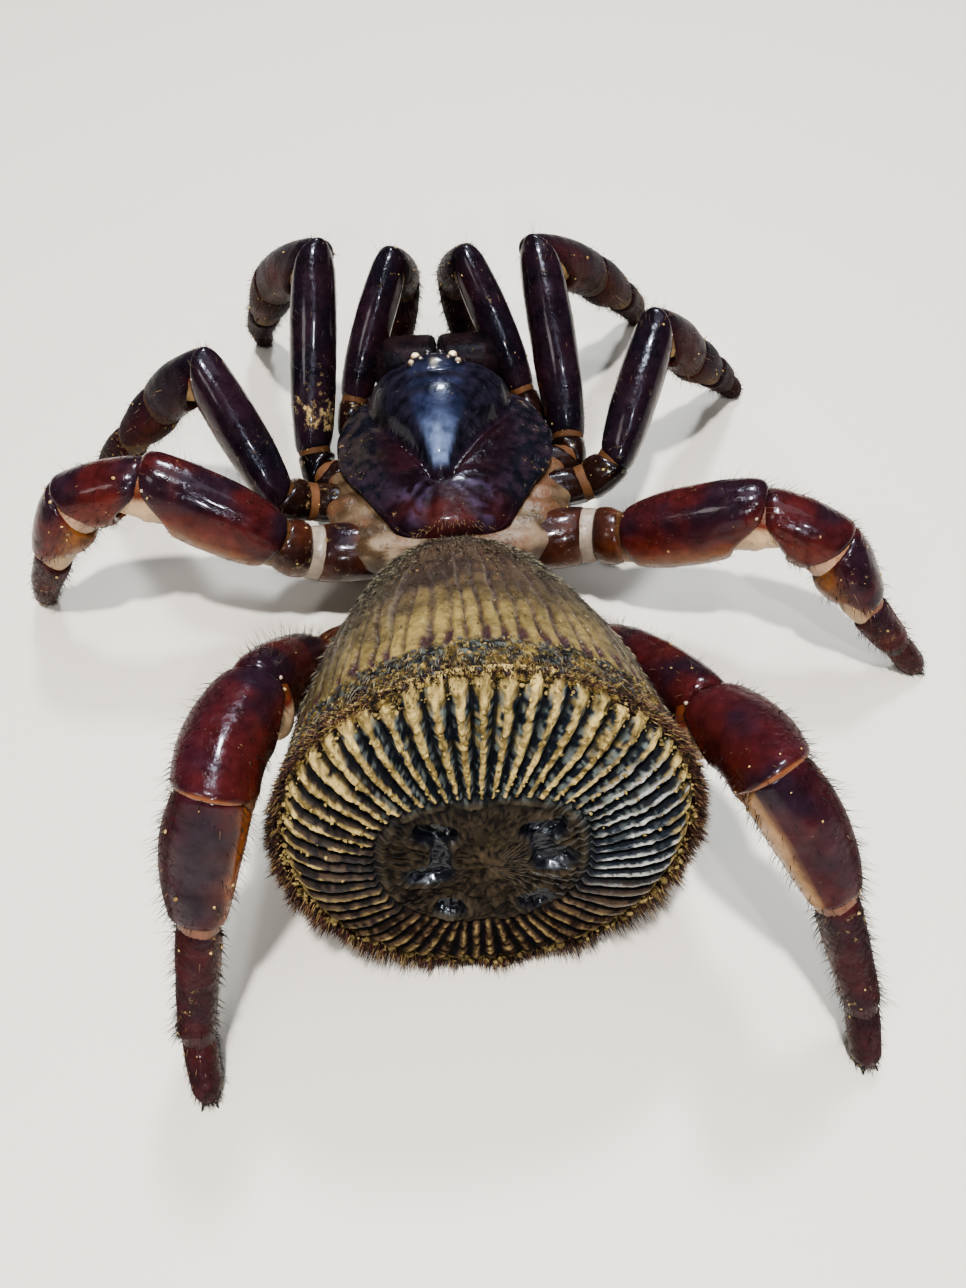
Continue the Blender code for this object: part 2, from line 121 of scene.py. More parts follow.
def table(stops, t):
    """Smooth run through (t, value) stops, for an array or a number."""
    t = np.asarray(t, float)
    xs = np.array([s[0] for s in stops], float)
    vs = np.array([s[1] for s in stops], float)
    tc = np.clip(t, xs[0], xs[-1])
    i = np.clip(np.searchsorted(xs, tc, side="right") - 1, 0, len(xs) - 2)
    w = (tc - xs[i]) / (xs[i + 1] - xs[i])
    # monotone cubic with averaged slopes
    d = np.diff(vs) / np.diff(xs)
    m = np.empty(len(xs))
    m[0], m[-1] = d[0], d[-1]
    m[1:-1] = np.where(d[:-1] * d[1:] > 0, 2 * d[:-1] * d[1:] / (d[:-1] + d[1:] + 1e-12), 0.0)
    h = xs[i + 1] - xs[i]
    w2, w3 = w * w, w * w * w
    return ((2 * w3 - 3 * w2 + 1) * vs[i] + (w3 - 2 * w2 + w) * h * m[i]
            + (-2 * w3 + 3 * w2) * vs[i + 1] + (w3 - w2) * h * m[i + 1])


def unit(v):
    v = np.asarray(v, float)
    return v / np.maximum(np.linalg.norm(v, axis=-1, keepdims=True), 1e-12)


def hash3(i, seed):
    x = (i[..., 0] * 374761393 + i[..., 1] * 668265263 + i[..., 2] * 2147483647 + seed * 974711) & 0xFFFFFFFF
    x = ((x ^ (x >> 13)) * 1274126177) & 0xFFFFFFFF
    x = ((x ^ (x >> 16)) * 2246822519) & 0xFFFFFFFF
    return ((x ^ (x >> 15)) & 0xFFFFFF) / float(0xFFFFFF)


def noise(p, scale, seed=0):
    """Value noise from 0 to 1 at points p, with features 1/scale mm wide."""
    q = np.asarray(p, float) * scale
    i = np.floor(q).astype(np.int64)
    f = q - i
    f = f * f * (3 - 2 * f)
    out = 0.0
    for a in (0, 1):
        for b in (0, 1):
            for c in (0, 1):
                w = ((f[..., 0] if a else 1 - f[..., 0]) * (f[..., 1] if b else 1 - f[..., 1])
                     * (f[..., 2] if c else 1 - f[..., 2]))
                out = out + w * hash3(i + np.array((a, b, c)), seed)
    return out


def fractal(p, scale, seed=0, octaves=3):
    total, amp, norm = 0.0, 1.0, 0.0
    for k in range(octaves):
        total = total + amp * noise(p, scale * 2 ** k, seed + 17 * k)
        norm += amp
        amp *= 0.5
    return total / norm


def col(*rgb):
    return np.array(rgb, float)


def mix(a, b, t):
    t = np.asarray(t, float)[..., None]
    return a * (1 - t) + b * t


# ------------------------------------------------------------------ mesh building
def build(name, V, quads=None, tris=None, tone=None, attrs=None, uv=None):
    """An object from arrays of points in mm, with a colour and number attributes per point."""
    V = (np.asarray(V, float) + SHIFT) * MM
    V[:, 2] = np.maximum(V[:, 2], 0.0)
    quads = np.zeros((0, 4), int) if quads is None else np.asarray(quads, int)
    tris = np.zeros((0, 3), int) if tris is None else np.asarray(tris, int)
    me = bpy.data.meshes.new(name)
    me.vertices.add(len(V))
    me.vertices.foreach_set("co", V.astype(np.float32).ravel())
    loops = np.concatenate((quads.ravel(), tris.ravel())).astype(np.int32)
    me.loops.add(len(loops))
    me.loops.foreach_set("vertex_index", loops)
    starts = np.concatenate((np.arange(len(quads)) * 4, len(quads) * 4 + np.arange(len(tris)) * 3)).astype(np.int32)
    me.polygons.add(len(starts))
    me.polygons.foreach_set("loop_start", starts)
    me.update(calc_edges=True)
    me.polygons.foreach_set("use_smooth", np.ones(len(starts), bool))
    if tone is not None:
        a = me.attributes.new("tone", "FLOAT_COLOR", "POINT")
        a.data.foreach_set("color", np.concatenate((tone, np.ones((len(V), 1))), 1).astype(np.float32).ravel())
    for key, arr in (attrs or {}).items():
        a = me.attributes.new(key, "FLOAT", "POINT")
        a.data.foreach_set("value", np.asarray(arr, float).astype(np.float32).ravel())
    if uv is not None:
        layer = me.uv_layers.new(name="OFBake")
        layer.data.foreach_set("uv", np.asarray(uv)[loops].astype(np.float32).ravel())
    me.update()
    obj = bpy.data.objects.new(name, me)
    bpy.context.scene.collection.objects.link(obj)
    return obj


class Heap:
    """Collects parts of one object."""

    def __init__(self):
        self.V, self.Q, self.T, self.C, self.A = [], [], [], [], {}
        self.n = 0

    def add(self, V, quads=None, tris=None, tone=None, **attrs):
        V = np.asarray(V, float).reshape(-1, 3)
        if quads is not None and len(quads):
            self.Q.append(np.asarray(quads, int) + self.n)
        if tris is not None and len(tris):
            self.T.append(np.asarray(tris, int) + self.n)
        self.V.append(V)
        tone = np.asarray(tone, float)
        self.C.append(np.broadcast_to(tone, (len(V), 3)) if tone.ndim == 1 else tone.reshape(-1, 3))
        for key in ("gloss", "grain", "soil"):
            val = np.asarray(attrs.get(key, {"gloss": 1.0, "grain": 0.3, "soil": 0.0}[key]), float)
            self.A.setdefault(key, []).append(np.broadcast_to(val, (len(V),)) if val.ndim == 0 else val.ravel())
        self.n += len(V)

    def make(self, name):
        return build(name, np.concatenate(self.V), np.concatenate(self.Q) if self.Q else None,
                     np.concatenate(self.T) if self.T else None, np.concatenate(self.C),
                     {k: np.concatenate(v) for k, v in self.A.items()})


def loft_faces(n, m, base=0, close_start=None, close_end=None):
    """Quads between n closed loops of m points, with triangles to the end poles."""
    i = np.arange(n - 1)[:, None] * m
    j = np.arange(m)[None, :]
    k = (j + 1) % m
    quads = np.stack((i + j, i + k, i + m + k, i + m + j), -1).reshape(-1, 4) + base
    tris = []
    j = np.arange(m)
    k = (j + 1) % m
    if close_start is not None:
        tris.append(np.stack((k, j, np.full(m, close_start)), -1) + base)
    if close_end is not None:
        o = (n - 1) * m
        tris.append(np.stack((o + j, o + k, np.full(m, close_end)), -1) + base)
    return quads, (np.concatenate(tris) if tris else None)


def normals_of(grid):
    """Outward-ish normals of a grid of rings (n, m, 3) that closes round its second axis."""
    du = np.gradient(grid, axis=0)
    dv = np.roll(grid, -1, axis=1) - np.roll(grid, 1, axis=1)
    n = unit(np.cross(dv, du))
    centre = grid.mean(axis=1, keepdims=True)
    flip = np.sign(np.sum(n * (grid - centre), -1, keepdims=True).mean())
    return n * (flip if flip != 0 else 1.0)


# ------------------------------------------------------------------ materials
def stuff(name, rough=(0.22, 0.6), scale=1600.0, vary=0.35, bump=0.00004, fine=6000.0, coat=0.0,
          sheen=None, soil=(0.36, 0.25, 0.11), specular=0.5, soil_scale=2600.0, cells=None, subsurface=0.0):
    """A shell or skin finish: colour from the mesh, broken up by noise, with grain and soil."""
    mat = bpy.data.materials.new(name)
    mat.use_nodes = True
    nt = mat.node_tree
    nd, ln = nt.nodes, nt.links
    bsdf = nd["Principled BSDF"]
    co = nd.new("ShaderNodeTexCoord").outputs["Object"]

    def tex(s, detail=4.0, rough_=0.6):
        n = nd.new("ShaderNodeTexNoise")
        n.inputs["Scale"].default_value = s
        n.inputs["Detail"].default_value = detail
        n.inputs["Roughness"].default_value = rough_
        ln.new(co, n.inputs["Vector"])
        return n.outputs["Fac"]

    def attr(key, out="Fac"):
        n = nd.new("ShaderNodeAttribute")
        n.attribute_name = key
        return n.outputs[out]

    def span(src, a, b, lo, hi):
        n = nd.new("ShaderNodeMapRange")
        n.inputs["From Min"].default_value = a
        n.inputs["From Max"].default_value = b
        n.inputs["To Min"].default_value = lo
        n.inputs["To Max"].default_value = hi
        ln.new(src, n.inputs["Value"])
        return n.outputs["Result"]

    def math_(op, a, b):
        n = nd.new("ShaderNodeMath")
        n.operation = op
        n.use_clamp = op == "MINIMUM"
        for sock, val in ((n.inputs[0], a), (n.inputs[1], b)):
            if isinstance(val, (int, float)):
                sock.default_value = val
            else:
                ln.new(val, sock)
        return n.outputs[0]

    def blend(fac, a, b, mode="MIX"):
        n = nd.new("ShaderNodeMix")
        n.data_type = "RGBA"
        n.blend_type = mode
        for sock, val in ((n.inputs[0], fac), (n.inputs[6], a), (n.inputs[7], b)):
            if isinstance(val, (int, float)):
                sock.default_value = val
            elif isinstance(val, tuple):
                sock.default_value = (*val, 1.0)
            else:
                ln.new(val, sock)
        return n.outputs[2]

    broad, small = tex(scale), tex(fine, 3.0, 0.7)
    tone = attr("tone", "Color")
    shade = span(broad, 0.3, 0.7, 1.0 - vary, 1.0 + vary)
    g = nd.new("ShaderNodeCombineColor")
    for k in range(3):
        ln.new(shade, g.inputs[k])
    base = blend(1.0, tone, g.outputs[0], "MULTIPLY")
    dirt_noise = tex(soil_scale, 6.0, 0.75)
    dirt = math_("MINIMUM", 1.0, span(math_("ADD", dirt_noise, math_("MULTIPLY", attr("soil"), 0.5)), 0.68, 0.79, 0.0, 1.0))
    crumbs = blend(span(small, 0.35, 0.65, 0.0, 1.0), tuple(0.45 * c for c in soil), tuple(1.25 * c for c in soil))
    base = blend(dirt, base, crumbs)
    ln.new(base, bsdf.inputs["Base Color"])
    r = span(attr("gloss"), 0.0, 1.0, rough[1], rough[0])
    r = math_("ADD", r, span(broad, 0.3, 0.7, -0.05, 0.08))
    r = math_("MINIMUM", 0.95, math_("ADD", r, math_("MULTIPLY", dirt, 0.5)))
    ln.new(r, bsdf.inputs["Roughness"])
    ln.new(span(attr("gloss"), 0.0, 1.0, 0.04 * specular, specular), bsdf.inputs["Specular IOR Level"])
    if coat:
        ln.new(span(attr("gloss"), 0.25, 0.95, 0.0, coat), bsdf.inputs["Coat Weight"])
        bsdf.inputs["Coat Roughness"].default_value = 0.06
    if sheen:
        bsdf.inputs["Specular Tint"].default_value = (*sheen, 1.0)
    height = math_("MULTIPLY", small, math_("ADD", attr("grain"), 0.12))
    if cells:
        v = nd.new("ShaderNodeTexVoronoi")
        v.inputs["Scale"].default_value = cells
        ln.new(co, v.inputs["Vector"])
        height = math_("ADD", height, math_("MULTIPLY", math_("MULTIPLY", v.outputs["Distance"], -1.1), attr("grain")))
    height = math_("ADD", height, math_("MULTIPLY", dirt, 0.8))
    bp = nd.new("ShaderNodeBump")
    bp.inputs["Strength"].default_value = 1.0
    bp.inputs["Distance"].default_value = bump
    ln.new(height, bp.inputs["Height"])
    ln.new(bp.outputs[0], bsdf.inputs["Normal"])
    if subsurface:
        bsdf.inputs["Subsurface Weight"].default_value = subsurface
        bsdf.inputs["Subsurface Radius"].default_value = (0.0008, 0.0004, 0.0002)
        bsdf.inputs["Subsurface Scale"].default_value = 1.0
    return mat


def hair_stuff(name, rough=0.38, vary=0.3, specular=0.16):
    mat = bpy.data.materials.new(name)
    mat.use_nodes = True
    nt = mat.node_tree
    nd, ln = nt.nodes, nt.links
    bsdf = nd["Principled BSDF"]
    a = nd.new("ShaderNodeAttribute")
    a.attribute_name = "tone"
    co = nd.new("ShaderNodeTexCoord")
    n = nd.new("ShaderNodeTexNoise")
    n.inputs["Scale"].default_value = 900.0
    ln.new(co.outputs["Object"], n.inputs["Vector"])
    hsv = nd.new("ShaderNodeHueSaturation")
    m = nd.new("ShaderNodeMapRange")
    m.inputs["To Min"].default_value = 1.0 - vary
    m.inputs["To Max"].default_value = 1.0 + vary
    ln.new(n.outputs["Fac"], m.inputs["Value"])
    ln.new(m.outputs["Result"], hsv.inputs["Value"])
    ln.new(a.outputs["Color"], hsv.inputs["Color"])
    ln.new(hsv.outputs["Color"], bsdf.inputs["Base Color"])
    bsdf.inputs["Roughness"].default_value = rough
    bsdf.inputs["Specular IOR Level"].default_value = specular
    return mat


MAT = {
    "shell_dark": stuff("shell_dark", rough=(0.13, 0.40), vary=0.4, bump=0.00004, fine=7000.0, coat=0.25, sheen=(0.74, 0.84, 1.0), specular=0.13, cells=3600.0),
    "shell_red": stuff("shell_red", rough=(0.13, 0.40), vary=0.35, bump=0.00004, fine=7000.0, coat=0.25, sheen=(0.80, 0.87, 1.0), specular=0.13, cells=3600.0),
    "skin": stuff("skin", rough=(0.17, 0.72), scale=900.0, vary=0.28, bump=0.00007, fine=4200.0, subsurface=0.10, specular=0.38, soil=(0.25, 0.175, 0.062)),
    "disk": stuff("disk", rough=(0.13, 0.88), scale=1500.0, vary=0.35, bump=0.00006, fine=5200.0, cells=5600.0, specular=0.40, coat=0.08, sheen=(0.85, 0.92, 1.0), soil=(0.25, 0.175, 0.062)),
    "eye": stuff("eye", rough=(0.04, 0.3), vary=0.1, bump=0.000002, coat=0.8),
    "fang": stuff("fang", rough=(0.14, 0.4), vary=0.3, bump=0.00002, coat=0.4),
    "crumb": stuff("crumb", rough=(0.7, 0.95), vary=0.5, bump=0.00008, fine=7000.0),
    "bristle": hair_stuff("bristle", 0.34),
    "down": hair_stuff("down", 0.45),
}


def finish(obj, mat, nodes=()):
    obj.data.materials.append(MAT[mat])
    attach(obj, "root")
    if nodes:
        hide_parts(*nodes)
    return obj


# ------------------------------------------------------------------ limbs
def heading(side, bearing, rise):
    b, r = math.radians(bearing), math.radians(rise)
    s = 1.0 if side == "left" else -1.0
    return np.array((s * math.cos(b) * math.cos(r), -math.sin(b) * math.cos(r), math.sin(r)))


def leg_joints(side, leg):
    m = np.array((1.0 if side == "left" else -1.0, 1, 1))
    pts = [np.array(ROOTS[leg]) * m, np.array(HIPS[leg]) * m]
    for length, (bearing, rise) in zip(LENGTHS[leg], POSE[(side, leg)]):
        pts.append(pts[-1] + heading(side, bearing, rise) * length)
    pts[-1][2] = 0.0
    return pts


def leg_frames(pts):
    dirs = [unit(b - a) for a, b in zip(pts, pts[1:])]
    first = 2
    right = unit(np.cross(dirs[first], (0, 0, 1)))
    rights = {first: right}
    for order in (range(first + 1, len(dirs)), range(first - 1, -1, -1)):
        r = right
        for i in order:
            r = unit(r - dirs[i] * r.dot(dirs[i]))
            rights[i] = r
    return [(d, rights[i], unit(np.cross(rights[i], d))) for i, d in enumerate(dirs)]


# Share of the full girth along each piece.
SHARES = {
    "coxa": ((0.0, 0.62), (0.3, 0.92), (0.75, 1.02), (1.0, 0.95)),
    "trochanter": ((0.0, 0.95), (0.45, 1.04), (1.0, 0.88)),
    "femur": ((0.0, 0.74), (0.12, 0.88), (0.35, 1.0), (0.65, 1.03), (0.9, 0.97), (1.0, 0.86)),
    "patella": ((0.0, 0.88), (0.15, 0.98), (0.6, 1.04), (1.0, 0.97)),
    "tibia": ((0.0, 0.96), (0.35, 1.03), (0.75, 0.92), (1.0, 0.76)),
    "metatarsus": ((0.0, 0.86), (0.15, 1.02), (0.6, 0.95), (1.0, 0.86)),
    "tarsus": ((0.0, 0.96), (0.3, 1.02), (0.75, 0.95), (1.0, 0.72)),
}
NAMES = ("coxa", "trochanter", "femur", "patella", "tibia", "metatarsus", "tarsus")
PALP_NAMES = ("coxa", "trochanter", "femur", "patella", "tibia", "tarsus")
# Clear space at each joint, and how far the underside of each plate stops short of it
# (before the joint, after the joint).
JOINT = {
    1: (0.20, 0.15, 0.10), 2: (0.09, 0.10, 0.15), 3: (0.07, 0.75, 1.15),
    4: (0.07, 0.25, 0.20), 5: (0.08, 0.85, 0.30), 6: (0.05, 0.10, 0.08),
}
JOINT_OF = {(3, 1): (0.46, 0.18, 0.12), (4, 3): (0.09, 1.05, 1.55), (3, 3): (0.09, 0.95, 1.35), (4, 5): (0.10, 1.1, 0.5), (3, 5): (0.12, 0.9, 0.5)}
# Sideways bow and upward arch of each piece, in mm.
BOW = {("femur", 3): (0.0, 0.12), ("femur", 4): (0.0, 0.20), ("patella", 4): (0.28, 0.12), ("tibia", 4): (0.20, 0.06),
       ("femur", 1): (0.0, 0.15), ("femur", 2): (0.0, 0.15), ("patella", 3): (0.0, 0.15), ("patella", 1): (0.0, 0.2),
       ("patella", 2): (0.0, 0.2), ("femur", 0): (0.0, 0.25), ("patella", 0): (0.0, 0.15),
       ("metatarsus", 4): (0.08, -0.12), ("metatarsus", 1): (0.0, 0.1), ("metatarsus", 2): (0.0, 0.1)}


def joint_gap(leg, k):
    k = k if leg or k < 5 else 6
    return JOINT_OF.get((leg, k), JOINT.get(k, (0.1, 0.2, 0.2)))


def facing(pts):
    """+1 or -1: which way along a piece's side direction its rear or inner side lies."""
    return -1.0 if pts[-1][0] > 0 else 1.0


def reach(o, d, normal):
    return -(o @ normal) / max(0.42, float(d @ normal))


def plate(pts, frames, i, names, leg, rows=44, around=44):
    """The shell of one piece as a grid of rings; returns the grid, t and the angle."""
    name = names[i]
    a, b = pts[i], pts[i + 1]
    d, right, up = frames[i]
    length = np.linalg.norm(b - a)
    width, depth = GIRTH[leg][i]
    last = i == len(names) - 1
    n0 = unit(frames[i - 1][0] + d) if i > 0 else d
    n1 = unit(d + frames[i + 1][0]) if not last else d
    jn = i if i <= 6 else 6
    before = joint_gap(leg, i) if i > 0 else (0.0, 0, 0)
    after = joint_gap(leg, i + 1) if not last else (0.0, 0, 0)
    ang = 2 * np.pi * np.arange(around) / around
    ca, sa = np.cos(ang), np.sin(ang)
    n = 2.3
    rr = (np.abs(ca) ** n + np.abs(sa) ** n) ** (-1.0 / n)
    full = (ca * rr)[:, None] * right * width * 0.5 + (sa * rr)[:, None] * up * depth * 0.5
    rear = ca * facing(pts)
    under = smooth(-0.78 * sa + 0.62 * rear, 0.25, 1.0) if leg in (3, 4) and i >= 2 else smooth(-sa, 0.05, 0.95)
    t = 0.5 - 0.5 * np.cos(np.pi * np.linspace(0, 1, rows))
    share = table(SHARES[name], t)
    start = reach(full * share[0], d, n0) + before[0] * 0.5 + before[2] * under
    end = length + reach(full * share[-1], d, n1) - after[0] * 0.5 - after[1] * under
    span = end - start
    s = start[None, :] + t[:, None] * span[None, :]
    lip = 0.30
    e0 = np.clip((t[:, None] * span[None, :]) / lip, 0, 1)
    e1 = np.clip(((1 - t[:, None]) * span[None, :]) / (0.9 if last else lip), 0, 1)
    edge = lambda e, k: k + (1 - k) * np.sqrt(np.clip(1 - (1 - e) ** 2, 0, 1))
    r = share[:, None] * edge(e0, 0.80) * edge(e1, 0.30 if last else 0.82)
    bow, arch = BOW.get((name, leg), (0.0, 0.0))
    sgn = -facing(pts)
    hump = (4 * t * (1 - t))[:, None, None]
    grid = a + full[None] * r[..., None] + d * s[..., None] + hump * (right * bow * sgn + up * arch)
    # lips turned in, so that each plate has an edge with thickness
    inner0 = a + full * share[0] * 0.62 + d * (start + 0.18)[:, None]
    inner1 = a + full * share[-1] * (0.15 if last else 0.62) + d * (end - (0.02 if last else 0.18))[:, None]
    return grid, inner0, inner1, t, ang, (d, right, up), length


LIMBS = [(side, leg) for side in ("left", "right") for leg in (1, 2, 3, 4, 0)]
RED = col(0.086, 0.014, 0.007)
MAROON = col(0.038, 0.007, 0.007)
PURPLE = col(0.014, 0.006, 0.010)
BLACK = col(0.006, 0.004, 0.007)
AMBER = col(0.135, 0.052, 0.015)
CREAM = col(0.62, 0.47, 0.30)
TAN = col(0.42, 0.25, 0.12)
BROWN = col(0.020, 0.0065, 0.0075)


def plate_tone(name, leg, side, grid, t, ang, rear_sign=1.0):
    """Colour, gloss, grain and soil over one plate."""
    tt = np.broadcast_to(t[:, None], grid.shape[:2])
    aa = np.broadcast_to(ang[None, :], grid.shape[:2])
    up, out = np.sin(aa), np.cos(aa)
    big = fractal(grid, 0.55, leg * 7 + 1)
    fine = fractal(grid, 2.2, leg * 3 + 5)
    red = leg in (3, 4)
    top = mix(PURPLE, MAROON, smooth(big, 0.35, 0.65)) if red else mix(BLACK, PURPLE, smooth(big, 0.3, 0.7))
    sidec = mix(MAROON, RED, smooth(big, 0.3, 0.6)) if red else mix(PURPLE, MAROON, 0.6 * smooth(big, 0.3, 0.7))
    tone = mix(top, sidec, smooth(-up, -0.75, 0.15))
    amber = np.zeros_like(tt)
    rear = out * rear_sign
    lower = -0.86 * up + 0.5 * rear
    if name == "femur":
        amber = smooth(lower + 0.25 * (big - 0.5), 0.48, 0.90) * (1.0 if leg == 3 else 0.5 if leg == 4 else 0.15)
    elif name == "patella":
        amber = smooth(lower, 0.65, 1.0) * (0.6 if red else 0.12)
    elif name == "tibia":
        amber = smooth(lower, 0.30 if leg == 3 else 0.62, 0.80 if leg == 3 else 0.98) * (0.95 if red else 0.15)
        amber = np.clip(amber + red * 0.55 * smooth(tt, 0.80, 1.0) * smooth(lower, -0.5, 0.3), 0, 1)
    elif name in ("coxa", "trochanter"):
        amber = 0.25 + 0.75 * smooth(-up, -0.5, 0.5) if red else 0.2 + 0.5 * smooth(-up, -0.3, 0.6)
        amber = np.clip(amber * smooth(big, 0.1, 0.6), 0, 1)
    tone = mix(tone, AMBER * (0.75 + 0.5 * fine[..., None]), np.clip(amber, 0, 1))
    if name in ("coxa", "trochanter"):
        tone = tone * (0.62 if red else 0.30)
    if name in ("metatarsus", "tarsus"):
        dull = 0.9 if name == "tarsus" else 0.55
        earth = BROWN if red else BROWN * 0.55
        tone = mix(tone, mix(earth, earth * 1.4, smooth(fine, 0.4, 0.6)), dull * (0.6 + 0.4 * smooth(tt, 0, 0.6)))
        if leg == 4 and name == "metatarsus":
            tone = mix(tone, col(0.20, 0.105, 0.065), 0.7 * smooth(lower, 0.45, 0.9))
    if leg == 4 and name in ("patella", "tibia"):
        dark = smooth(-rear, -0.05, 0.45)
        tone = mix(tone, col(0.024, 0.0048, 0.0068), 0.85 * dark)
        # a faint bluish band along the top: painted sheen
        tone = mix(tone, col(0.018, 0.011, 0.024), 0.12 * smooth(up, 0.75, 0.98) * smooth(fine, 0.3, 0.55))
        if name == "tibia":
            edge_ = 0.70 if side == "right" else 0.80
            tone = mix(tone, col(0.30, 0.175, 0.080) if side == "right" else col(0.24, 0.075, 0.020), 0.9 * smooth(rear + 0.3 * (big - 0.5), edge_, edge_ + 0.2))
    if red and name == "patella":
        tone = mix(tone, col(0.16, 0.060, 0.024), 0.8 * smooth(tt, 0.985, 0.995))
    gloss = 1.0 - 0.35 * smooth(fine, 0.45, 0.7)
    if leg < 3 and name in ("patella", "tibia", "metatarsus", "tarsus"):
        gloss = gloss * (0.35 if name == "patella" else 0.10)
    elif name in ("metatarsus", "tarsus"):
        gloss = gloss * (0.55 - 0.45 * smooth(-rear, -0.1, 0.6))
    if leg == 4 and name in ("patella", "tibia"):
        ridge = 1 - 0.85 * smooth(up, 0.84, 0.95)
        gloss = gloss * (1 - (0.30 if name == "patella" else 0.80 * ridge) * smooth(-rear, 0.10, 0.60))
        if name == "tibia":
            gloss = gloss * (1 - 0.35 * smooth(tt, 0.45, 0.75))
    grain = 0.22 + 0.8 * smooth(-out * rear_sign, -0.2, 0.7) * (name in ("patella", "tibia", "metatarsus"))
    if name in ("metatarsus", "tarsus"):
        grain = grain + 0.6
    if leg == 4 and name == "tibia":
        grain = grain * 0.45
    soil = {"patella": 0.10, "tibia": 0.18, "metatarsus": 0.24, "tarsus": 0.18, "femur": 0.12, "coxa": 0.2, "trochanter": 0.28}[name]
    if leg == 4 and name == "tibia":
        soil = 0.05
    if leg == 1 and side == "left" and name == "femur":
        soil = soil + 0.30 * smooth(1 - tt, 0.50, 0.85)
    soil = soil * smooth(fractal(grid, 0.45, 91 + leg), 0.40, 0.66) * (1.0 if up is None else 0.6 + 0.4 * (up > -0.2))
    return tone, np.clip(gloss, 0, 1), np.clip(grain, 0, 1.6), soil


GRIDS = {}


def add_grid(heap, grid, inner0, inner1, tone, gloss, grain, soil):
    n, m = grid.shape[:2]
    V = np.concatenate((inner0[None], grid, inner1[None])).reshape(-1, 3)
    c0, c1 = inner0.mean(0), inner1.mean(0)
    V = np.concatenate((V, c0[None], c1[None]))
    q, t = loft_faces(n + 2, m, 0, (n + 2) * m, (n + 2) * m + 1)
    pad = lambda x: np.concatenate((x[:1], x, x[-1:]))
    C = np.concatenate((pad(tone).reshape(-1, 3), tone[0].mean(0)[None], tone[-1].mean(0)[None]))
    f = lambda x: np.concatenate((pad(x).ravel(), x[0, :1], x[-1, :1]))
    heap.add(V, q, t, C, gloss=f(gloss), grain=f(grain), soil=f(soil))


def make_limbs():
    for side, leg in LIMBS:
        pts, names = leg_joints(side, leg), (NAMES if leg else PALP_NAMES)
        frames = leg_frames(pts)
        stem = ("palp_" if leg == 0 else "leg%d_" % leg) + side
        parts = {}
        for i, name in enumerate(names):
            grid, in0, in1, t, ang, fr, length = plate(pts, frames, i, names, leg)
            tone, gloss, grain, soil = plate_tone(name, leg, side, grid, t, ang, facing(pts))
            relief = (fractal(grid, 1.3, 40 + leg) - 0.5) * 0.055 + (fractal(grid, 4.0, 60 + leg, 2) - 0.5) * 0.014 * np.clip(grain, 0, 1.2)
            nrm = normals_of(grid)
            grid = grid + nrm * relief[..., None]
            grid[..., 2] = np.maximum(grid[..., 2], 0.02)
            key = {"coxa": "coxa", "trochanter": "coxa", "femur": "femur", "patella": "tibia", "tibia": "tibia",
                   "metatarsus": "foot", "tarsus": "foot" if leg else "tarsus"}[name]
            heap = parts.setdefault(key, Heap())
            add_grid(heap, grid, in0, in1, tone, gloss, grain, soil)
            GRIDS[(side, leg, name)] = (grid, nrm, t, ang, fr, length)
        for key, heap in parts.items():
            obj = heap.make(stem + "_" + key + "_plates")
            red = leg in (3, 4)
            finish(obj, "shell_red" if red else "shell_dark", [stem + "_" + key])


# ------------------------------------------------------------------ the skin
def joint_tone(k, leg, side, sa, ca, rear_sign=1.0):
    """Colour of the soft skin round joint k; sa is +1 on top and -1 below."""
    red = leg in (3, 4)
    rear = ca * rear_sign
    lower = -0.78 * sa + 0.62 * rear
    if k == 1:
        base = mix(col(0.20, 0.16, 0.125), TAN * 0.45, smooth(-sa, 0.1, 0.8)) if leg == 3 else mix(col(0.07, 0.030, 0.012), TAN * (0.35 if red else 0.20), smooth(-sa, -0.3, 0.6))
    elif k == 2:
        base = mix(col(0.06, 0.026, 0.011), TAN * (0.4 if red else 0.22), smooth(-sa, -0.2, 0.6))
    elif k == 3:
        base = mix(col(0.10, 0.030, 0.010), col(0.40, 0.27, 0.16), smooth(lower, 0.10, 0.45)) if red else mix(col(0.10, 0.05, 0.025), col(0.28, 0.18, 0.08), smooth(-sa, -0.3, 0.5))
        spot = smooth(lower, -0.12, 0.12) * (1 - smooth(lower, 0.25, 0.45)) * smooth(rear, 0.45, 0.8)
        base = mix(base, col(0.085, 0.008, 0.004), 0.9 * spot)
    elif k == 4:
        base = np.broadcast_to(col(0.19, 0.095, 0.050) if red else col(0.040, 0.020, 0.012), sa.shape + (3,)).copy()
        if leg == 3:
            base = mix(base, col(0.32, 0.20, 0.13), smooth(lower, 0.1, 0.6))
    elif k == 5:
        base = mix(col(0.11, 0.045, 0.024) if red else col(0.040, 0.020, 0.012), col(0.34, 0.23, 0.13) if red else TAN * 0.20, smooth(lower, 0.2, 0.7))
    else:
        base = np.broadcast_to(BROWN * (1.2 if red else 0.7), sa.shape + (3,)).copy()
    return base


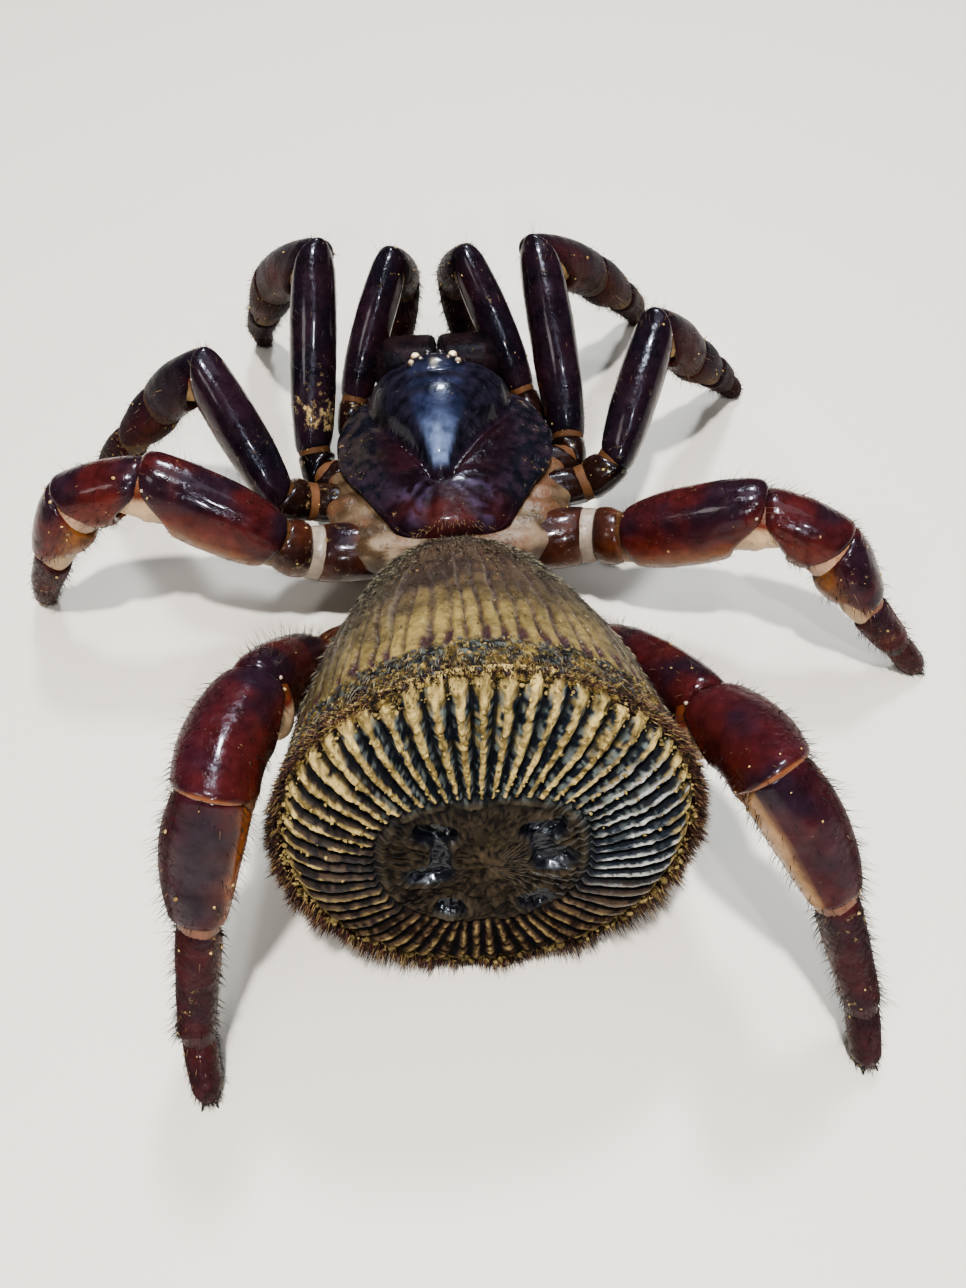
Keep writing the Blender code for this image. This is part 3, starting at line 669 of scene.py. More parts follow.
def limb_skin(heap, side, leg):
    pts = leg_joints(side, leg)
    frames = leg_frames(pts)
    names = NAMES if leg else PALP_NAMES
    around = 26
    ang = 2 * np.pi * np.arange(around) / around
    ca, sa = np.cos(ang), np.sin(ang)
    rows, tones = [], []

    def ring(c, right, up, w, h, k):
        n = 2.3
        rr = (np.abs(ca) ** n + np.abs(sa) ** n) ** (-1.0 / n)
        rows.append(c + (ca * rr)[:, None] * right * w * 0.5 + (sa * rr)[:, None] * up * h * 0.5)
        tones.append(joint_tone(k, leg, side, sa, ca, facing(pts)))

    n = len(names)
    for i in range(n):
        a, b = pts[i], pts[i + 1]
        length = np.linalg.norm(b - a)
        d, right, up = frames[i]
        w, h = GIRTH[leg][i]
        c0 = min(0.95, 0.32 * length) if i else 0.0
        c1 = min(0.95, 0.32 * length)
        lo = 0.0 if i == 0 else c0 / length
        hi = 0.75 if i == n - 1 else 1 - c1 / length
        for f in ((lo, 0.82), (0.5, 0.50), (hi, 0.82)):
            share = table(SHARES[names[i]], f[0])
            ring(a + d * length * f[0], right, up, w * share * f[1], h * share * f[1], max(1, min(6, i + (1 if f[0] > 0.5 else 0))))
        if i < n - 1:
            d2, r2, u2 = frames[i + 1]
            w2, h2 = GIRTH[leg][i + 1]
            length2 = np.linalg.norm(pts[i + 2] - b)
            cc = min(0.95, 0.32 * length2)
            p0, p2 = b - d * c1, b + d2 * cc
            s0 = table(SHARES[names[i]], 1.0)
            s1 = table(SHARES[names[i + 1]], 0.0)
            k = i + 1 if (leg or i + 1 < 5) else 6
            puff = {1: 1.01, 2: 0.97, 3: 0.95, 4: 0.96, 5: 0.96, 6: 0.95}[k]
            for q in np.linspace(0.12, 0.88, 9):
                c = (1 - q) ** 2 * p0 + 2 * q * (1 - q) * b + q * q * p2
                if k == 3 and leg in (3, 4):
                    c = c + (lerp(right, r2, q) * facing(pts) * 0.62 - lerp(up, u2, q) * 0.78) * (0.62 if leg == 4 else 0.15) * (1 - (2 * q - 1) ** 2)
                dd = unit(lerp(d, d2, q))
                rr = unit(lerp(right, r2, q))
                rr = unit(rr - dd * rr.dot(dd))
                uu = unit(np.cross(rr, dd))
                share = lerp(s0, s1, q)
                f = lerp(0.84, puff, np.sqrt(1 - (2 * q - 1) ** 2))
                ring(c, rr, uu, lerp(w, w2, q) * share * f, lerp(h, h2, q) * share * f, k)
    grid = np.array(rows)
    tone = np.array(tones)
    # knees: the inner side of a bend is filled with soft folds
    grid = grid + (noise(grid, 5.0, 9)[..., None] - 0.5) * 0.05
    grid[..., 2] = np.maximum(grid[..., 2], 0.25)
    m = around
    V = np.concatenate((grid.reshape(-1, 3), grid[0].mean(0)[None], grid[-1].mean(0)[None]))
    q, t = loft_faces(len(rows), m, 0, len(rows) * m, len(rows) * m + 1)
    C = np.concatenate((tone.reshape(-1, 3), tone[0].mean(0)[None], tone[-1].mean(0)[None]))
    heap.add(V, q, t, C, gloss=0.75 if leg in (3, 4) else 0.25, grain=0.5, soil=0.12)
    # a small knob beside the knee; its pale cream tone is a painted glint
    if leg in (2, 3, 4):
        d, right, up = frames[2]
        w, h = GIRTH[leg][2]
        c = pts[3] - d * 0.04 + right * facing(pts) * w * 0.385 + up * h * 0.24
        a = 2 * np.pi * np.arange(16) / 16
        el = np.linspace(-1.3, 1.3, 9)
        G = np.stack([np.stack((c[0] + 0.09 * np.cos(e) * np.cos(a), c[1] + 0.09 * np.cos(e) * np.sin(a), np.full(16, c[2] + 0.09 * np.sin(e))), -1) for e in el])
        V = np.concatenate((G.reshape(-1, 3), G[0].mean(0)[None], G[-1].mean(0)[None]))
        q, t = loft_faces(9, 16, 0, 144, 145)
        heap.add(V, q, t, col(0.36, 0.27, 0.20), gloss=1.0, grain=0.0)


def flank_skin(heap):
    """Soft skin under the carapace, round the bases of the legs, back to the stalk."""
    ys = np.linspace(-5.2, 6.35, 70)
    half = table(((-5.2, 3.6), (-4.0, 5.0), (-2.5, 5.95), (-1.0, 6.3), (0.5, 6.35), (2.0, 6.2), (3.4, 5.8), (4.6, 4.9), (5.5, 3.6), (6.1, 2.2), (6.35, 1.2)), ys)
    top = table(((-5.2, 5.3), (-3, 5.55), (0, 5.72), (3, 5.85), (4.6, 5.95), (5.6, 6.1), (6.35, 6.2)), ys)
    low = table(((-5.2, 3.7), (-3, 3.35), (1, 3.2), (4.5, 3.3), (6.0, 4.2), (6.35, 4.9)), ys)
    m = 120
    ang = 2 * np.pi * np.arange(m) / m
    ca, sa = np.cos(ang), np.sin(ang)
    n = 2.8
    rr = (np.abs(ca) ** n + np.abs(sa) ** n) ** (-1.0 / n)
    X = half[:, None] * (ca * rr)[None]
    Z = ((top + low) / 2)[:, None] + ((top - low) / 2)[:, None] * (sa * rr)[None]
    Y = np.broadcast_to(ys[:, None], X.shape)
    grid = np.stack((X, Y, Z), -1)
    nrm = normals_of(grid)
    folds = np.sin(grid[..., 1] * 5.5 + 3.0 * noise(grid, 0.9, 3)) * 0.5 + 0.5
    bump = (fractal(grid, 1.3, 11) - 0.5) * 0.22 + (folds - 0.5) * 0.08
    bump = bump * smooth(np.abs(X), 2.0, 4.0)
    grid = grid + nrm * bump[..., None]
    f = fractal(grid, 1.1, 21)
    tone = mix(col(0.036, 0.021, 0.011), col(0.084, 0.056, 0.033), smooth(f, 0.30, 0.66))
    tone = mix(tone, col(0.085, 0.038, 0.020), smooth(fractal(grid, 0.8, 31), 0.52, 0.66) * 0.8)
    tone = mix(tone, col(0.20, 0.15, 0.105), 0.5 * smooth(grid[..., 1], 3.2, 4.6) * smooth(grid[..., 2], 4.4, 5.4) * smooth(f, 0.4, 0.6))
    # the low parts of the folds are darkened: painted shade in the creases
    tone = mix(tone, tone * 0.55, smooth(-bump, 0.02, 0.14))
    V = np.concatenate((grid.reshape(-1, 3), grid[0].mean(0)[None], grid[-1].mean(0)[None]))
    q, t = loft_faces(len(ys), m, 0, len(ys) * m, len(ys) * m + 1)
    C = np.concatenate((tone.reshape(-1, 3), tone[0, :1], tone[-1, :1]))
    heap.add(V, q, t, C, gloss=0.7, grain=0.6, soil=0.15)


SAC_WIDTH = ((0.0, 1.15), (0.04, 2.3), (0.1, 3.2), (0.2, 4.2), (0.31, 4.85), (0.43, 5.6), (0.55, 6.3), (0.7, 6.95), (0.83, 7.4), (1.0, RIM_RADIUS))
SAC_TOP = ((0.0, 7.3), (0.04, 8.2), (0.1, 9.0), (0.2, 10.1), (0.31, 11.2), (0.55, 13.3), (0.785, 14.7), (0.92, 15.25), (1.0, 15.5))
SAC_LOW = ((0.0, 5.0), (0.06, 4.7), (0.14, 4.3), (0.28, 3.6), (0.47, 2.7), (0.7, 1.5), (0.86, 0.6), (0.96, 0.02), (1.0, -0.05))
SAC_ASIDE = ((0.0, 0.0), (0.3, -0.12), (1.0, float(DISK_CENTRE[0])))


def sac_point(t, ang, inset=0.0):
    """Point of the sac's surface; t runs from the stalk to the rim, ang from the spider's left over the top."""
    w, hi, lo = table(SAC_WIDTH, t) - inset, table(SAC_TOP, t) - inset, table(SAC_LOW, t) + inset
    tilt = DISK_TILT * t ** 1.5
    cy = lerp(ABDOMEN_FRONT_Y, DISK_CENTRE[1], t)
    cz = (hi + lo) / 2
    h = (hi - lo) / 2 / np.cos(tilt)
    s, c = np.sin(ang), np.cos(ang)
    return np.stack((table(SAC_ASIDE, t) + w * c, cy - h * s * np.sin(tilt), cz + h * s * np.cos(tilt)), -1)


def sac_tone(t, ang, P, groove, phase):
    """Colours of the sac: dark in front, golden, with the grooves darkened to purple-grey as painted shade, soil at the
    rim.
    """
    top = np.sin(ang)
    f = fractal(P, 0.9, 71)
    g = fractal(P, 3.2, 77)
    h = noise(P, 7.0, 79)
    grey = mix(col(0.014, 0.011, 0.007), col(0.050, 0.040, 0.024), smooth(0.6 * g + 0.4 * h, 0.35, 0.62))
    front = mix(col(0.024, 0.015, 0.010), col(0.062, 0.039, 0.024), smooth(f, 0.35, 0.65))
    grey = mix(grey, front, smooth(top, 0.75, 0.97) * smooth(t, 0.05, 0.2))
    side = mix(col(0.034, 0.026, 0.013), col(0.096, 0.074, 0.037), smooth(0.5 * f + 0.5 * h, 0.35, 0.62))
    gold = mix(col(0.104, 0.074, 0.025), col(0.178, 0.130, 0.045), smooth(0.5 * f + 0.5 * h, 0.30, 0.68))
    where = smooth(t + 0.20 * (f - 0.5) - 0.30 * (1 - top), 0.46, 0.80)
    tone = mix(grey, mix(side, gold, smooth(top, 0.45, 0.90)), where * smooth(top, -0.20, 0.35))
    # pale streaks beside some grooves: painted highlights along the fold edges
    pale = smooth(noise(np.stack((phase * 0.9, t * 3, t * 0), -1), 1.0, 93), 0.55, 0.70) * smooth(np.abs(np.cos(phase + 0.5)), 0.90, 0.99) * smooth(t, 0.2, 0.3) * (1 - smooth(t, 0.72, 0.8)) * smooth(top, 0.0, 0.4)
    tone = mix(tone, col(0.13, 0.112, 0.078), 0.40 * pale)
    # the grooves are darkened to purple-grey: painted shade in the grooves
    tone = mix(tone, mix(col(0.022, 0.012, 0.011), col(0.060, 0.043, 0.036), smooth(h, 0.4, 0.7)), 0.92 * groove * (0.35 + 0.65 * smooth(t, 0.15, 0.4)))
    stripe = np.abs(np.cos(phase))
    spots = smooth(stripe, 0.45, 0.85) * smooth(noise(np.stack((phase * 0.32, t * 9, t * 0), -1), 1.0, 83), 0.28, 0.48)
    spots = spots * smooth(t + 0.06 * (h - 0.5), 0.80, 0.84) * (1 - smooth(t, 0.885, 0.91)) * smooth(top, -0.2, 0.3)
    tone = mix(tone, col(0.026, 0.009, 0.013), 0.92 * spots)
    band = smooth(t + 0.05 * (g - 0.5), 0.865, 0.90)
    soil = mix(mix(col(0.008, 0.008, 0.009), col(0.062, 0.068, 0.060), smooth(h, 0.5, 0.7)), mix(col(0.045, 0.031, 0.011), col(0.160, 0.112, 0.036), smooth(h, 0.4, 0.65)),
               smooth(fractal(P, 1.5, 87) + 0.08 * smooth(t, 0.90, 0.97), 0.53, 0.65))
    tone = mix(tone, soil, band * (0.25 + 0.75 * smooth(top, -0.6, 0.4)))
    under = smooth(-top, 0.15, 0.7)
    return mix(tone, mix(col(0.055, 0.032, 0.022), col(0.11, 0.07, 0.045), smooth(f, 0.3, 0.7)), under)


def sac_skin(heap):
    rows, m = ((150, 540))
    t = np.concatenate((np.linspace(0, 0.04, 8)[:-1], np.linspace(0.04, 1.0, rows - 7)))
    ang = 2 * np.pi * np.arange(m) / m
    T, A = np.meshgrid(t, ang, indexing="ij")
    P = sac_point(T, A, 0.06)
    wob = noise(np.stack((T * 5.0, np.cos(A) * 6.0, np.sin(A) * 6.0), -1), 1.0, 5)
    wob2 = noise(np.stack((T * 13.0, np.cos(A) * 9.0, np.sin(A) * 9.0), -1), 1.0, 6)
    phase = 33.0 * A + 2.8 * (wob - 0.5) + 0.8 * (wob2 - 0.5)
    line = np.abs(np.sin(phase))
    zone = smooth(T, 0.10, 0.28) * (1 - smooth(T, 0.84, 0.90)) * smooth(np.sin(A), -0.45, 0.05)
    keep = 0.70 + 0.30 * smooth(noise(np.stack((T * 2.0, phase * 0.35, T * 0), -1), 1.0, 16), 0.35, 0.55)
    groove = (1 - smooth(line, 0.10, 0.66)) * zone * keep
    fine = (1 - smooth(np.abs(np.sin(phase * 2.0 + 1.3 + 1.5 * wob2)), 0.0, 0.30)) * zone * 0.35
    nrm = normals_of(P)
    cross = fractal(np.stack((T * 60.0, np.cos(A) * 7, np.sin(A) * 7), -1), 1.0, 15)
    disp = -0.16 * groove - 0.05 * fine
    disp = disp + (cross - 0.5) * 0.26 * smooth(T, 0.82, 0.92)
    disp = disp + (fractal(P, 0.5, 25) - 0.5) * 0.10 * smooth(T, 0.0, 0.2)
    disp = disp + (fractal(P, 2.4, 35) - 0.5) * 0.14 * (0.25 + smooth(T, 0.84, 0.93))
    P = P + nrm * disp[..., None]
    P[..., 2] = np.maximum(P[..., 2], 0.0)
    # ragged ledge of soil that stands over the ends of the ribs
    top = np.sin(ang)
    rag = fractal(np.stack((np.cos(ang) * 9, np.sin(ang) * 9, ang * 0), -1), 1.0, 45)
    out = (0.10 + 0.42 * rag) * smooth(top, -0.35, 0.45) + 0.18 * rag
    ledge = []
    for k, (fo, fi) in enumerate(((0.35, 0.0), (0.75, 0.10), (1.0, 0.38), (0.9, 0.62), (0.55, 0.66), (0.0, 0.70))):
        base = P[-1]
        inward = unit(DISK_CENTRE[None] - base) * (fi * (0.15 + 0.55 * rag))[:, None]
        ledge.append(base + DISK_N[None] * (out * fo)[:, None] + inward * 0.9)
    led = np.array(ledge)
    led = led + (noise(led, 3.4, 51)[..., None] - 0.5) * 0.16
    led[..., 2] = np.maximum(led[..., 2], 0.0)
    tone = sac_tone(T, A, P, np.clip(groove + 0.4 * fine, 0, 1), phase)
    dirt = mix(col(0.009, 0.008, 0.007), col(0.190, 0.130, 0.042), smooth(fractal(led, 1.5, 53), 0.46, 0.60))
    ventral = smooth(-top, 0.0, 0.5)
    dirt = mix(dirt, col(0.10, 0.055, 0.035), 0.75 * np.broadcast_to(ventral[None], dirt.shape[:2]))
    # the rows tucked under the ledge are darkened: painted shadow under the overhang
    dirt[3:] = dirt[3:] * 0.25
    G = np.concatenate((P, led))
    C = np.concatenate((tone, dirt))
    # the stalk, in front of the first ring
    stalk = []
    for y, z, r in ((4.9, 5.15, 0.30), (5.3, 5.4, 0.48), (5.8, 5.75, 0.55)):
        stalk.append(np.stack((r * np.cos(ang), np.full(m, y), z + 0.85 * r * np.sin(ang)), -1))
    G = np.concatenate((np.array(stalk), G))
    C = np.concatenate((np.broadcast_to(col(0.14, 0.09, 0.06), (3, m, 3)), C))
    n = len(G)
    gloss = np.concatenate((np.full((3, m), 0.4), (0.80 - 0.7 * smooth(T, 0.84, 0.90)), np.full(led.shape[:2], 0.0)))
    soil = np.concatenate((np.zeros((3, m)), 0.02 + 0.30 * smooth(T, 0.86, 0.92) * smooth(np.sin(A), -0.6, 0.3), np.full(led.shape[:2], 0.35)))
    V = np.concatenate((G.reshape(-1, 3), G[0].mean(0)[None], G[-1].mean(0)[None]))
    q, tr = loft_faces(n, m, 0, n * m, n * m + 1)
    heap.add(V, q, tr, np.concatenate((C.reshape(-1, 3), C[0, :1], C[-1, :1])),
             gloss=np.concatenate((gloss.ravel(), [0.4, 0.0])), grain=1.0,
             soil=np.concatenate((soil.ravel(), [0, 0])))
    return P, nrm, T, A


def make_skin():
    heap = Heap()
    for side, leg in LIMBS:
        limb_skin(heap, side, leg)
    flank_skin(heap)
    sac = sac_skin(heap)
    finish(heap.make("body_skin"), "skin", ["abdomen", "pedicel"])
    return sac


# ------------------------------------------------------------------ the disk
PITS = (  # across (image right), up, half sizes, depth
    (-1.96, 1.40, 0.84, 0.72, 0.46), (-1.82, 0.30, 0.46, 1.05, 0.32), (-2.30, -0.66, 0.98, 0.66, 0.34),
    (1.86, 1.28, 0.90, 0.68, 0.46), (1.80, 0.45, 0.48, 0.75, 0.32), (2.20, -0.32, 0.96, 0.66, 0.34),
    (-1.62, -2.72, 0.68, 0.64, 0.36), (1.66, -2.62, 0.74, 0.68, 0.36),
)


RIB_RISE = ((0.0, 0.12), (0.06, 0.45), (0.2, 0.88), (0.55, 1.22), (1.0, 1.28))


def make_disk():
    per = 14
    m = RIBS * per
    th = 2 * np.pi * np.arange(m) / m
    s_out = np.linspace(0.0, 1.0, 50)
    s_in = 1.0 + np.linspace(0, 1, 30)[1:] ** 0.85 * 0.985
    S = np.concatenate((s_out, s_in))
    SS, TH = np.meshgrid(S, th, indexing="ij")
    sn, cs = np.sin(TH), np.cos(TH)
    n = np.where(cs > 0, 2.9, 2.15)
    R = (np.abs(sn / PLATE_HALF[0]) ** n + np.abs(cs / PLATE_HALF[1]) ** n) ** (-1.0 / n)
    ix, iy = PLATE_CENTRE[0] + R * sn, PLATE_CENTRE[1] + R * cs
    edge = DISK_RADIUS + 0.38 * smooth(cs, -0.2, 0.8) + 0.12
    ox, oy = edge * sn, edge * cs
    outer = np.clip(SS, 0, 1)
    inner = np.clip(SS - 1, 0, 1)
    X = lerp(ox, ix, outer) * (1 - inner) + PLATE_CENTRE[0] * inner
    Y = lerp(oy, iy, outer) * (1 - inner) + PLATE_CENTRE[1] * inner
    D2 = np.stack((X, Y, X * 0), -1)
    wob = (noise(np.stack((sn * 5, cs * 5, SS * 2.2), -1), 1.0, 2) - 0.5) * (0.35 + 0.55 * smooth(-cs, 0.1, 0.6))
    k = TH * RIBS / (2 * np.pi) + wob * 0.5
    c = 0.5 + 0.5 * np.cos(2 * np.pi * k)
    ribs = smooth(SS, 0.0, 0.05) * (1 - smooth(SS, 0.95, 1.0))
    amp = table(((0.0, 0.36), (0.3, 0.42), (0.75, 0.32), (1.0, 0.20)), outer) * (1 - 0.45 * smooth(-cs, 0.2, 0.75)) * lerp(1.0, smooth(outer, 0.0, 0.22), smooth(-cs, 0.0, 0.5))
    gran = noise(D2, 5.5, 4)
    gran2 = noise(D2, 11.0, 6)
    crest = c ** 0.62
    H = table(RIB_RISE, outer)
    H = H + ribs * amp * (crest - 0.55) + ribs * crest * ((gran - 0.5) * 0.16 + (gran2 - 0.5) * 0.07) * (0.30 + 0.70 * smooth(cs, -0.25, 0.45))
    plate_in = smooth(SS, 1.0, 1.02)
    r_in = inner
    line = np.exp(-((SS - 1.035) / 0.018) ** 2)
    moat = np.exp(-((SS - 0.985) / 0.022) ** 2) + 0.7 * np.exp(-((SS - 1.085) / 0.03) ** 2)
    mound = np.exp(-(((X - 0.1) / 0.95) ** 2 + ((Y + 0.1) / 2.2) ** 2))
    H = H + plate_in * (0.02 + 0.16 * mound + (fractal(D2, 1.5, 8) - 0.5) * 0.36 + (gran - 0.5) * 0.07 + (gran2 - 0.5) * 0.05)
    H = H - 0.20 * moat + 0.10 * line
    pit, lipv, low = np.zeros_like(H), np.zeros_like(H), np.zeros_like(H)
    for fx, fy, rx, ry, depth in PITS:
        e = np.sqrt(((-X - fx) / rx) ** 2 + ((Y - fy) / ry) ** 2)
        e = e + (noise(D2, 1.6, 12) - 0.5) * 0.30
        low = np.minimum(low, -depth * (1 - smooth(e, 0.62, 1.02)))
        pit = np.maximum(pit, 1 - smooth(e, 0.86, 1.06))
        lipv = np.maximum(lipv, np.exp(-((e - 1.16) / 0.12) ** 2))
    H = H + low + 0.05 * pit * (noise(D2, 1.8, 13) - 0.5)
    ridges = np.exp(-((np.abs(np.sin((Y + 0.2 * np.sin(X * 2)) * 3.4)) / 0.25) ** 2)) * plate_in * smooth(-Y, 0.6, 1.4) * (1 - pit)
    H = H + 0.12 * lipv * plate_in * (1 - pit) + 0.09 * ridges
    dors = cs
    # soil on the crests, most on the upper ribs
    fn = fractal(D2, 1.1, 14)
    amount = table(((0.0, 1.15), (0.25, 1.0), (0.6, 0.88), (0.88, 0.70), (1.0, 0.25)), outer) * smooth(dors, 0.10, 0.62)
    amount = np.maximum(amount, 0.80 * (1 - smooth(outer + 0.25 * (fn - 0.5), 0.15, 0.50)) * smooth(dors, -0.30, 0.20))
    amount = np.maximum(amount, 0.75 * (1 - smooth(outer + 0.15 * (fn - 0.5), 0.03, 0.13)))
    reachc = 1.0 - 0.36 * amount * (1 - 0.25 * smooth(-sn, 0.2, 0.8))
    tan = smooth(c + 0.40 * (gran - 0.5) + 0.34 * (fn - 0.5), reachc, reachc + 0.13) * smooth(amount, 0.02, 0.12) * (SS < 1.0)
    edge_soil = (1 - smooth(SS + 0.10 * (gran - 0.5), 0.06, 0.15)) * smooth(noise(D2, 2.6, 18), 0.30, 0.5)
    # soil smeared across the grooves in places, and thin lines of it on the lower crests
    smear = smooth(fractal(D2, 0.8, 34), 0.52, 0.64) * smooth(dors, 0.25, 0.7) * (1 - smooth(outer, 0.30, 0.62)) * smooth(gran, 0.30, 0.55)
    thin = 0.36 * smooth(c + 0.3 * (gran - 0.5), 0.84, 0.99) * smooth(-dors, -0.1, 0.3) * smooth(fn + 0.3 * (gran2 - 0.5), 0.40, 0.55) * (SS < 1.0)
    tan = np.clip(np.maximum(np.maximum(tan, edge_soil), np.maximum(0.8 * smear, thin)), 0, 1)
    tan = tan * (1 - 0.85 * smooth(-sn, 0.62, 0.86) * smooth(outer + 0.2 * (fn - 0.5), 0.10, 0.28))
    speck = smooth(noise(D2, 7.5, 26), 0.50, 0.68)
    blue = mix(col(0.006, 0.008, 0.012), col(0.074, 0.084, 0.078), speck * (0.14 + 0.86 * smooth(dors, 0.1, 0.6)))
    brown = mix(col(0.012, 0.007, 0.005), col(0.052, 0.033, 0.020), smooth(0.5 * gran + 0.5 * fn, 0.36, 0.62))
    dark = mix(blue, brown, np.maximum(smooth(-dors, 0.15, 0.70), 0.75 * smooth(sn, 0.50, 0.85)))
    tone = mix(dark, mix(col(0.115, 0.082, 0.032), col(0.350, 0.262, 0.108), smooth(0.45 * fractal(D2, 2.6, 19) + 0.25 * gran + 0.30 * gran2, 0.36, 0.62)), tan)
    flank = smooth(np.maximum(np.abs(sn), -cs), 0.55, 0.90)
    # a pale silvery streak along the rib crests on the lower right flank: a painted highlight
    crest_glint = smooth(-sn, 0.50, 0.80) * smooth(cs, -0.50, -0.15) * smooth(c + 0.25 * (gran2 - 0.5), 0.80, 0.97) * (1 - tan) * (1 - smooth(outer, 0.80, 0.95)) * smooth(fn, 0.35, 0.5)
    tone = mix(tone, col(0.340, 0.330, 0.300), 0.90 * crest_glint)
    # the grooves between the ribs are painted near-black, wider on the flanks: painted shade in the grooves
    groove = smooth(1 - c, 0.74 - 0.36 * flank, 0.97 - 0.22 * flank) * ribs
    tone = mix(tone, col(0.004, 0.004, 0.005), 0.95 * groove)
    horn = mix(col(0.0055, 0.0042, 0.0036), col(0.024, 0.0175, 0.0115), smooth(0.5 * fractal(D2, 2.4, 23) + 0.5 * gran2, 0.40, 0.62))
    horn = mix(horn, col(0.062, 0.044, 0.024), 0.42 * mound * smooth(gran, 0.35, 0.6))
    tone = mix(tone, horn, plate_in)
    tone = mix(tone, col(0.20, 0.155, 0.095), np.clip(line, 0, 1) * 0.60 * smooth(gran, 0.25, 0.5))
    tone = mix(tone, col(0.11, 0.085, 0.056), 0.15 * lipv * plate_in * (1 - pit))
    # the pits and the moat round the plate are painted near-black: painted shade in the hollows
    tone = mix(tone, col(0.004, 0.004, 0.006), np.clip(pit, 0, 1) * plate_in)
    tone = mix(tone, col(0.005, 0.005, 0.006), np.clip(moat, 0, 1) * 0.8)
    side_shine = smooth(np.abs(sn), 0.45, 0.85)
    gloss = np.clip(0.14 + 0.98 * side_shine * smooth(c, 0.74, 0.95) * (0.45 + 0.55 * smooth(-sn, 0.0, 0.5)) - 1.1 * tan - 0.25 * side_shine * plate_in - 0.3 * smooth(-dors, 0.2, 0.7) * (1 - plate_in) + 0.9 * pit * plate_in, 0, 1)
    soil = 0.02 * (1 - plate_in) * (1 - groove) * smooth(dors, 0.0, 0.5) + 0.03 * plate_in * (1 - pit)
    base = DISK_CENTRE + DISK_N * 0.10
    G = base + DISK_X * X[..., None] + DISK_U * Y[..., None] + DISK_N * H[..., None]
    skirt = []
    ring = DISK_RADIUS + 0.38 * smooth(np.cos(th), -0.2, 0.8)
    for rr, hh in ((ring - 0.05, -0.35), (ring + 0.17, -0.10)):
        skirt.append(base + DISK_X * (rr * np.sin(th))[:, None] + DISK_U * (rr * np.cos(th))[:, None] + DISK_N * hh)
    G = np.concatenate((np.array(skirt), G))
    pad = lambda a: np.concatenate((a[:1], a[:1], a))
    tone, gloss, soil = pad(tone), pad(gloss), pad(soil)
    grain = pad((0.22 + 0.8 * np.maximum(tan, 0.35 * (1 - side_shine) * (1 - plate_in)) + 0.15 * plate_in) * (1 - 0.92 * np.clip(pit * plate_in, 0, 1)))
    G[..., 2] = np.maximum(G[..., 2], 0.0)
    nr = len(G)
    V = np.concatenate((G.reshape(-1, 3), G[0].mean(0)[None], G[-1].mean(0)[None]))
    q, t = loft_faces(nr, m, 0, nr * m, nr * m + 1)
    heap = Heap()
    heap.add(V, q, t, np.concatenate((tone.reshape(-1, 3), tone[0, :1], tone[-1, :1])),
             gloss=np.concatenate((gloss.ravel(), [0, 0])), grain=np.concatenate((grain.ravel(), [0.5, 0.5])),
             soil=np.concatenate((soil.ravel(), [0, 0])))
    finish(heap.make("ribbed_disk"), "disk", ["abdominal_disk"])


# ------------------------------------------------------------------ carapace, eyes, jaws, underside
def carapace_half_width(y):
    return CARAPACE_HALF_WIDTH * table(((CARAPACE_FRONT, 0.74), (-5.4, 0.82), (-4.0, 0.94), (-2.5, 1.0), (-1.2, 0.99), (0.0, 0.92),
                                        (1.5, 0.755), (3.2, 0.585), (4.4, 0.47), (CARAPACE_REAR, 0.40)), y)


def caput_half(y):
    return table(((CARAPACE_FRONT, 4.15), (-3.5, 3.6), (-1.1, 1.95), (0.9, 0.75), (1.95, 0.3)), y)


def lean(y):
    """How far the middle line of the head part and the groove lie to the left."""
    return table(((CARAPACE_FRONT, 0.25), (-1.0, 0.32), (2.3, 0.34), (CARAPACE_REAR, 0.0)), y)


def carapace_surface(x, y):
    """Height of the upper side: caput, thoracic groove, radiating furrows and margin."""
    w = carapace_half_width(y)
    u = np.clip(np.abs(x) / w, 0, 1)
    x = x - lean(y) * (1 - u * u)
    thorax = lerp(CARAPACE_RIM_Z + 0.22, THORAX_Z, (1 - u ** 2.3) * table(((-6, 1.0), (1.5, 1.0), (CARAPACE_REAR, 0.55)), y))
    half = caput_half(y)
    crest = table(((CARAPACE_FRONT, 8.7), (-5.0, 9.1), (-3.2, CARAPACE_CREST_Z), (-0.8, 8.75), (0.9, 7.75), (1.95, 7.35)), y)
    v = np.clip(np.abs(x) / half, 0, 1)
    head = lerp(thorax, np.maximum(crest, thorax), (1 - v ** 2.2) ** 0.85)
    z = np.where(y < 1.95, np.maximum(thorax, head), thorax)
    cervical = np.exp(-(((np.abs(x) - half) / 0.30) ** 2)) * (y < 1.6) * smooth(u, 1.0, 0.85)
    z = z - 0.22 * cervical
    # furrows that radiate from the groove
    dx, dy = x, y - 1.6
    rad = np.hypot(dx, dy)
    a = np.arctan2(np.abs(dx), -dy)
    furrow = 0.0
    for centre, width in ((1.20, 0.13), (1.72, 0.12), (2.22, 0.12), (2.74, 0.13)):
        furrow = furrow + np.exp(-((a - centre) / width) ** 2)
    z = z - 0.065 * furrow * smooth(rad, 0.8, 2.0) * (1 - smooth(u, 0.70, 0.95))
    arc = y - (1.80 - 0.75 * x * x)
    pit = np.exp(-(arc / 0.14) ** 2) * (1 - smooth(np.abs(x), 0.55, 0.90))
    z = z - 0.42 * pit
    rim = np.exp(-((u - 0.965) / 0.025) ** 2)
    gut = np.exp(-((u - 0.90) / 0.03) ** 2)
    z = z + 0.035 * rim - 0.03 * gut
    bump = 1 - (x / 1.75) ** 2 - ((y - TUBERCLE_Y) / 0.95) ** 2
    z = z + 0.42 * np.clip(bump, 0, 1) ** 0.8
    return z


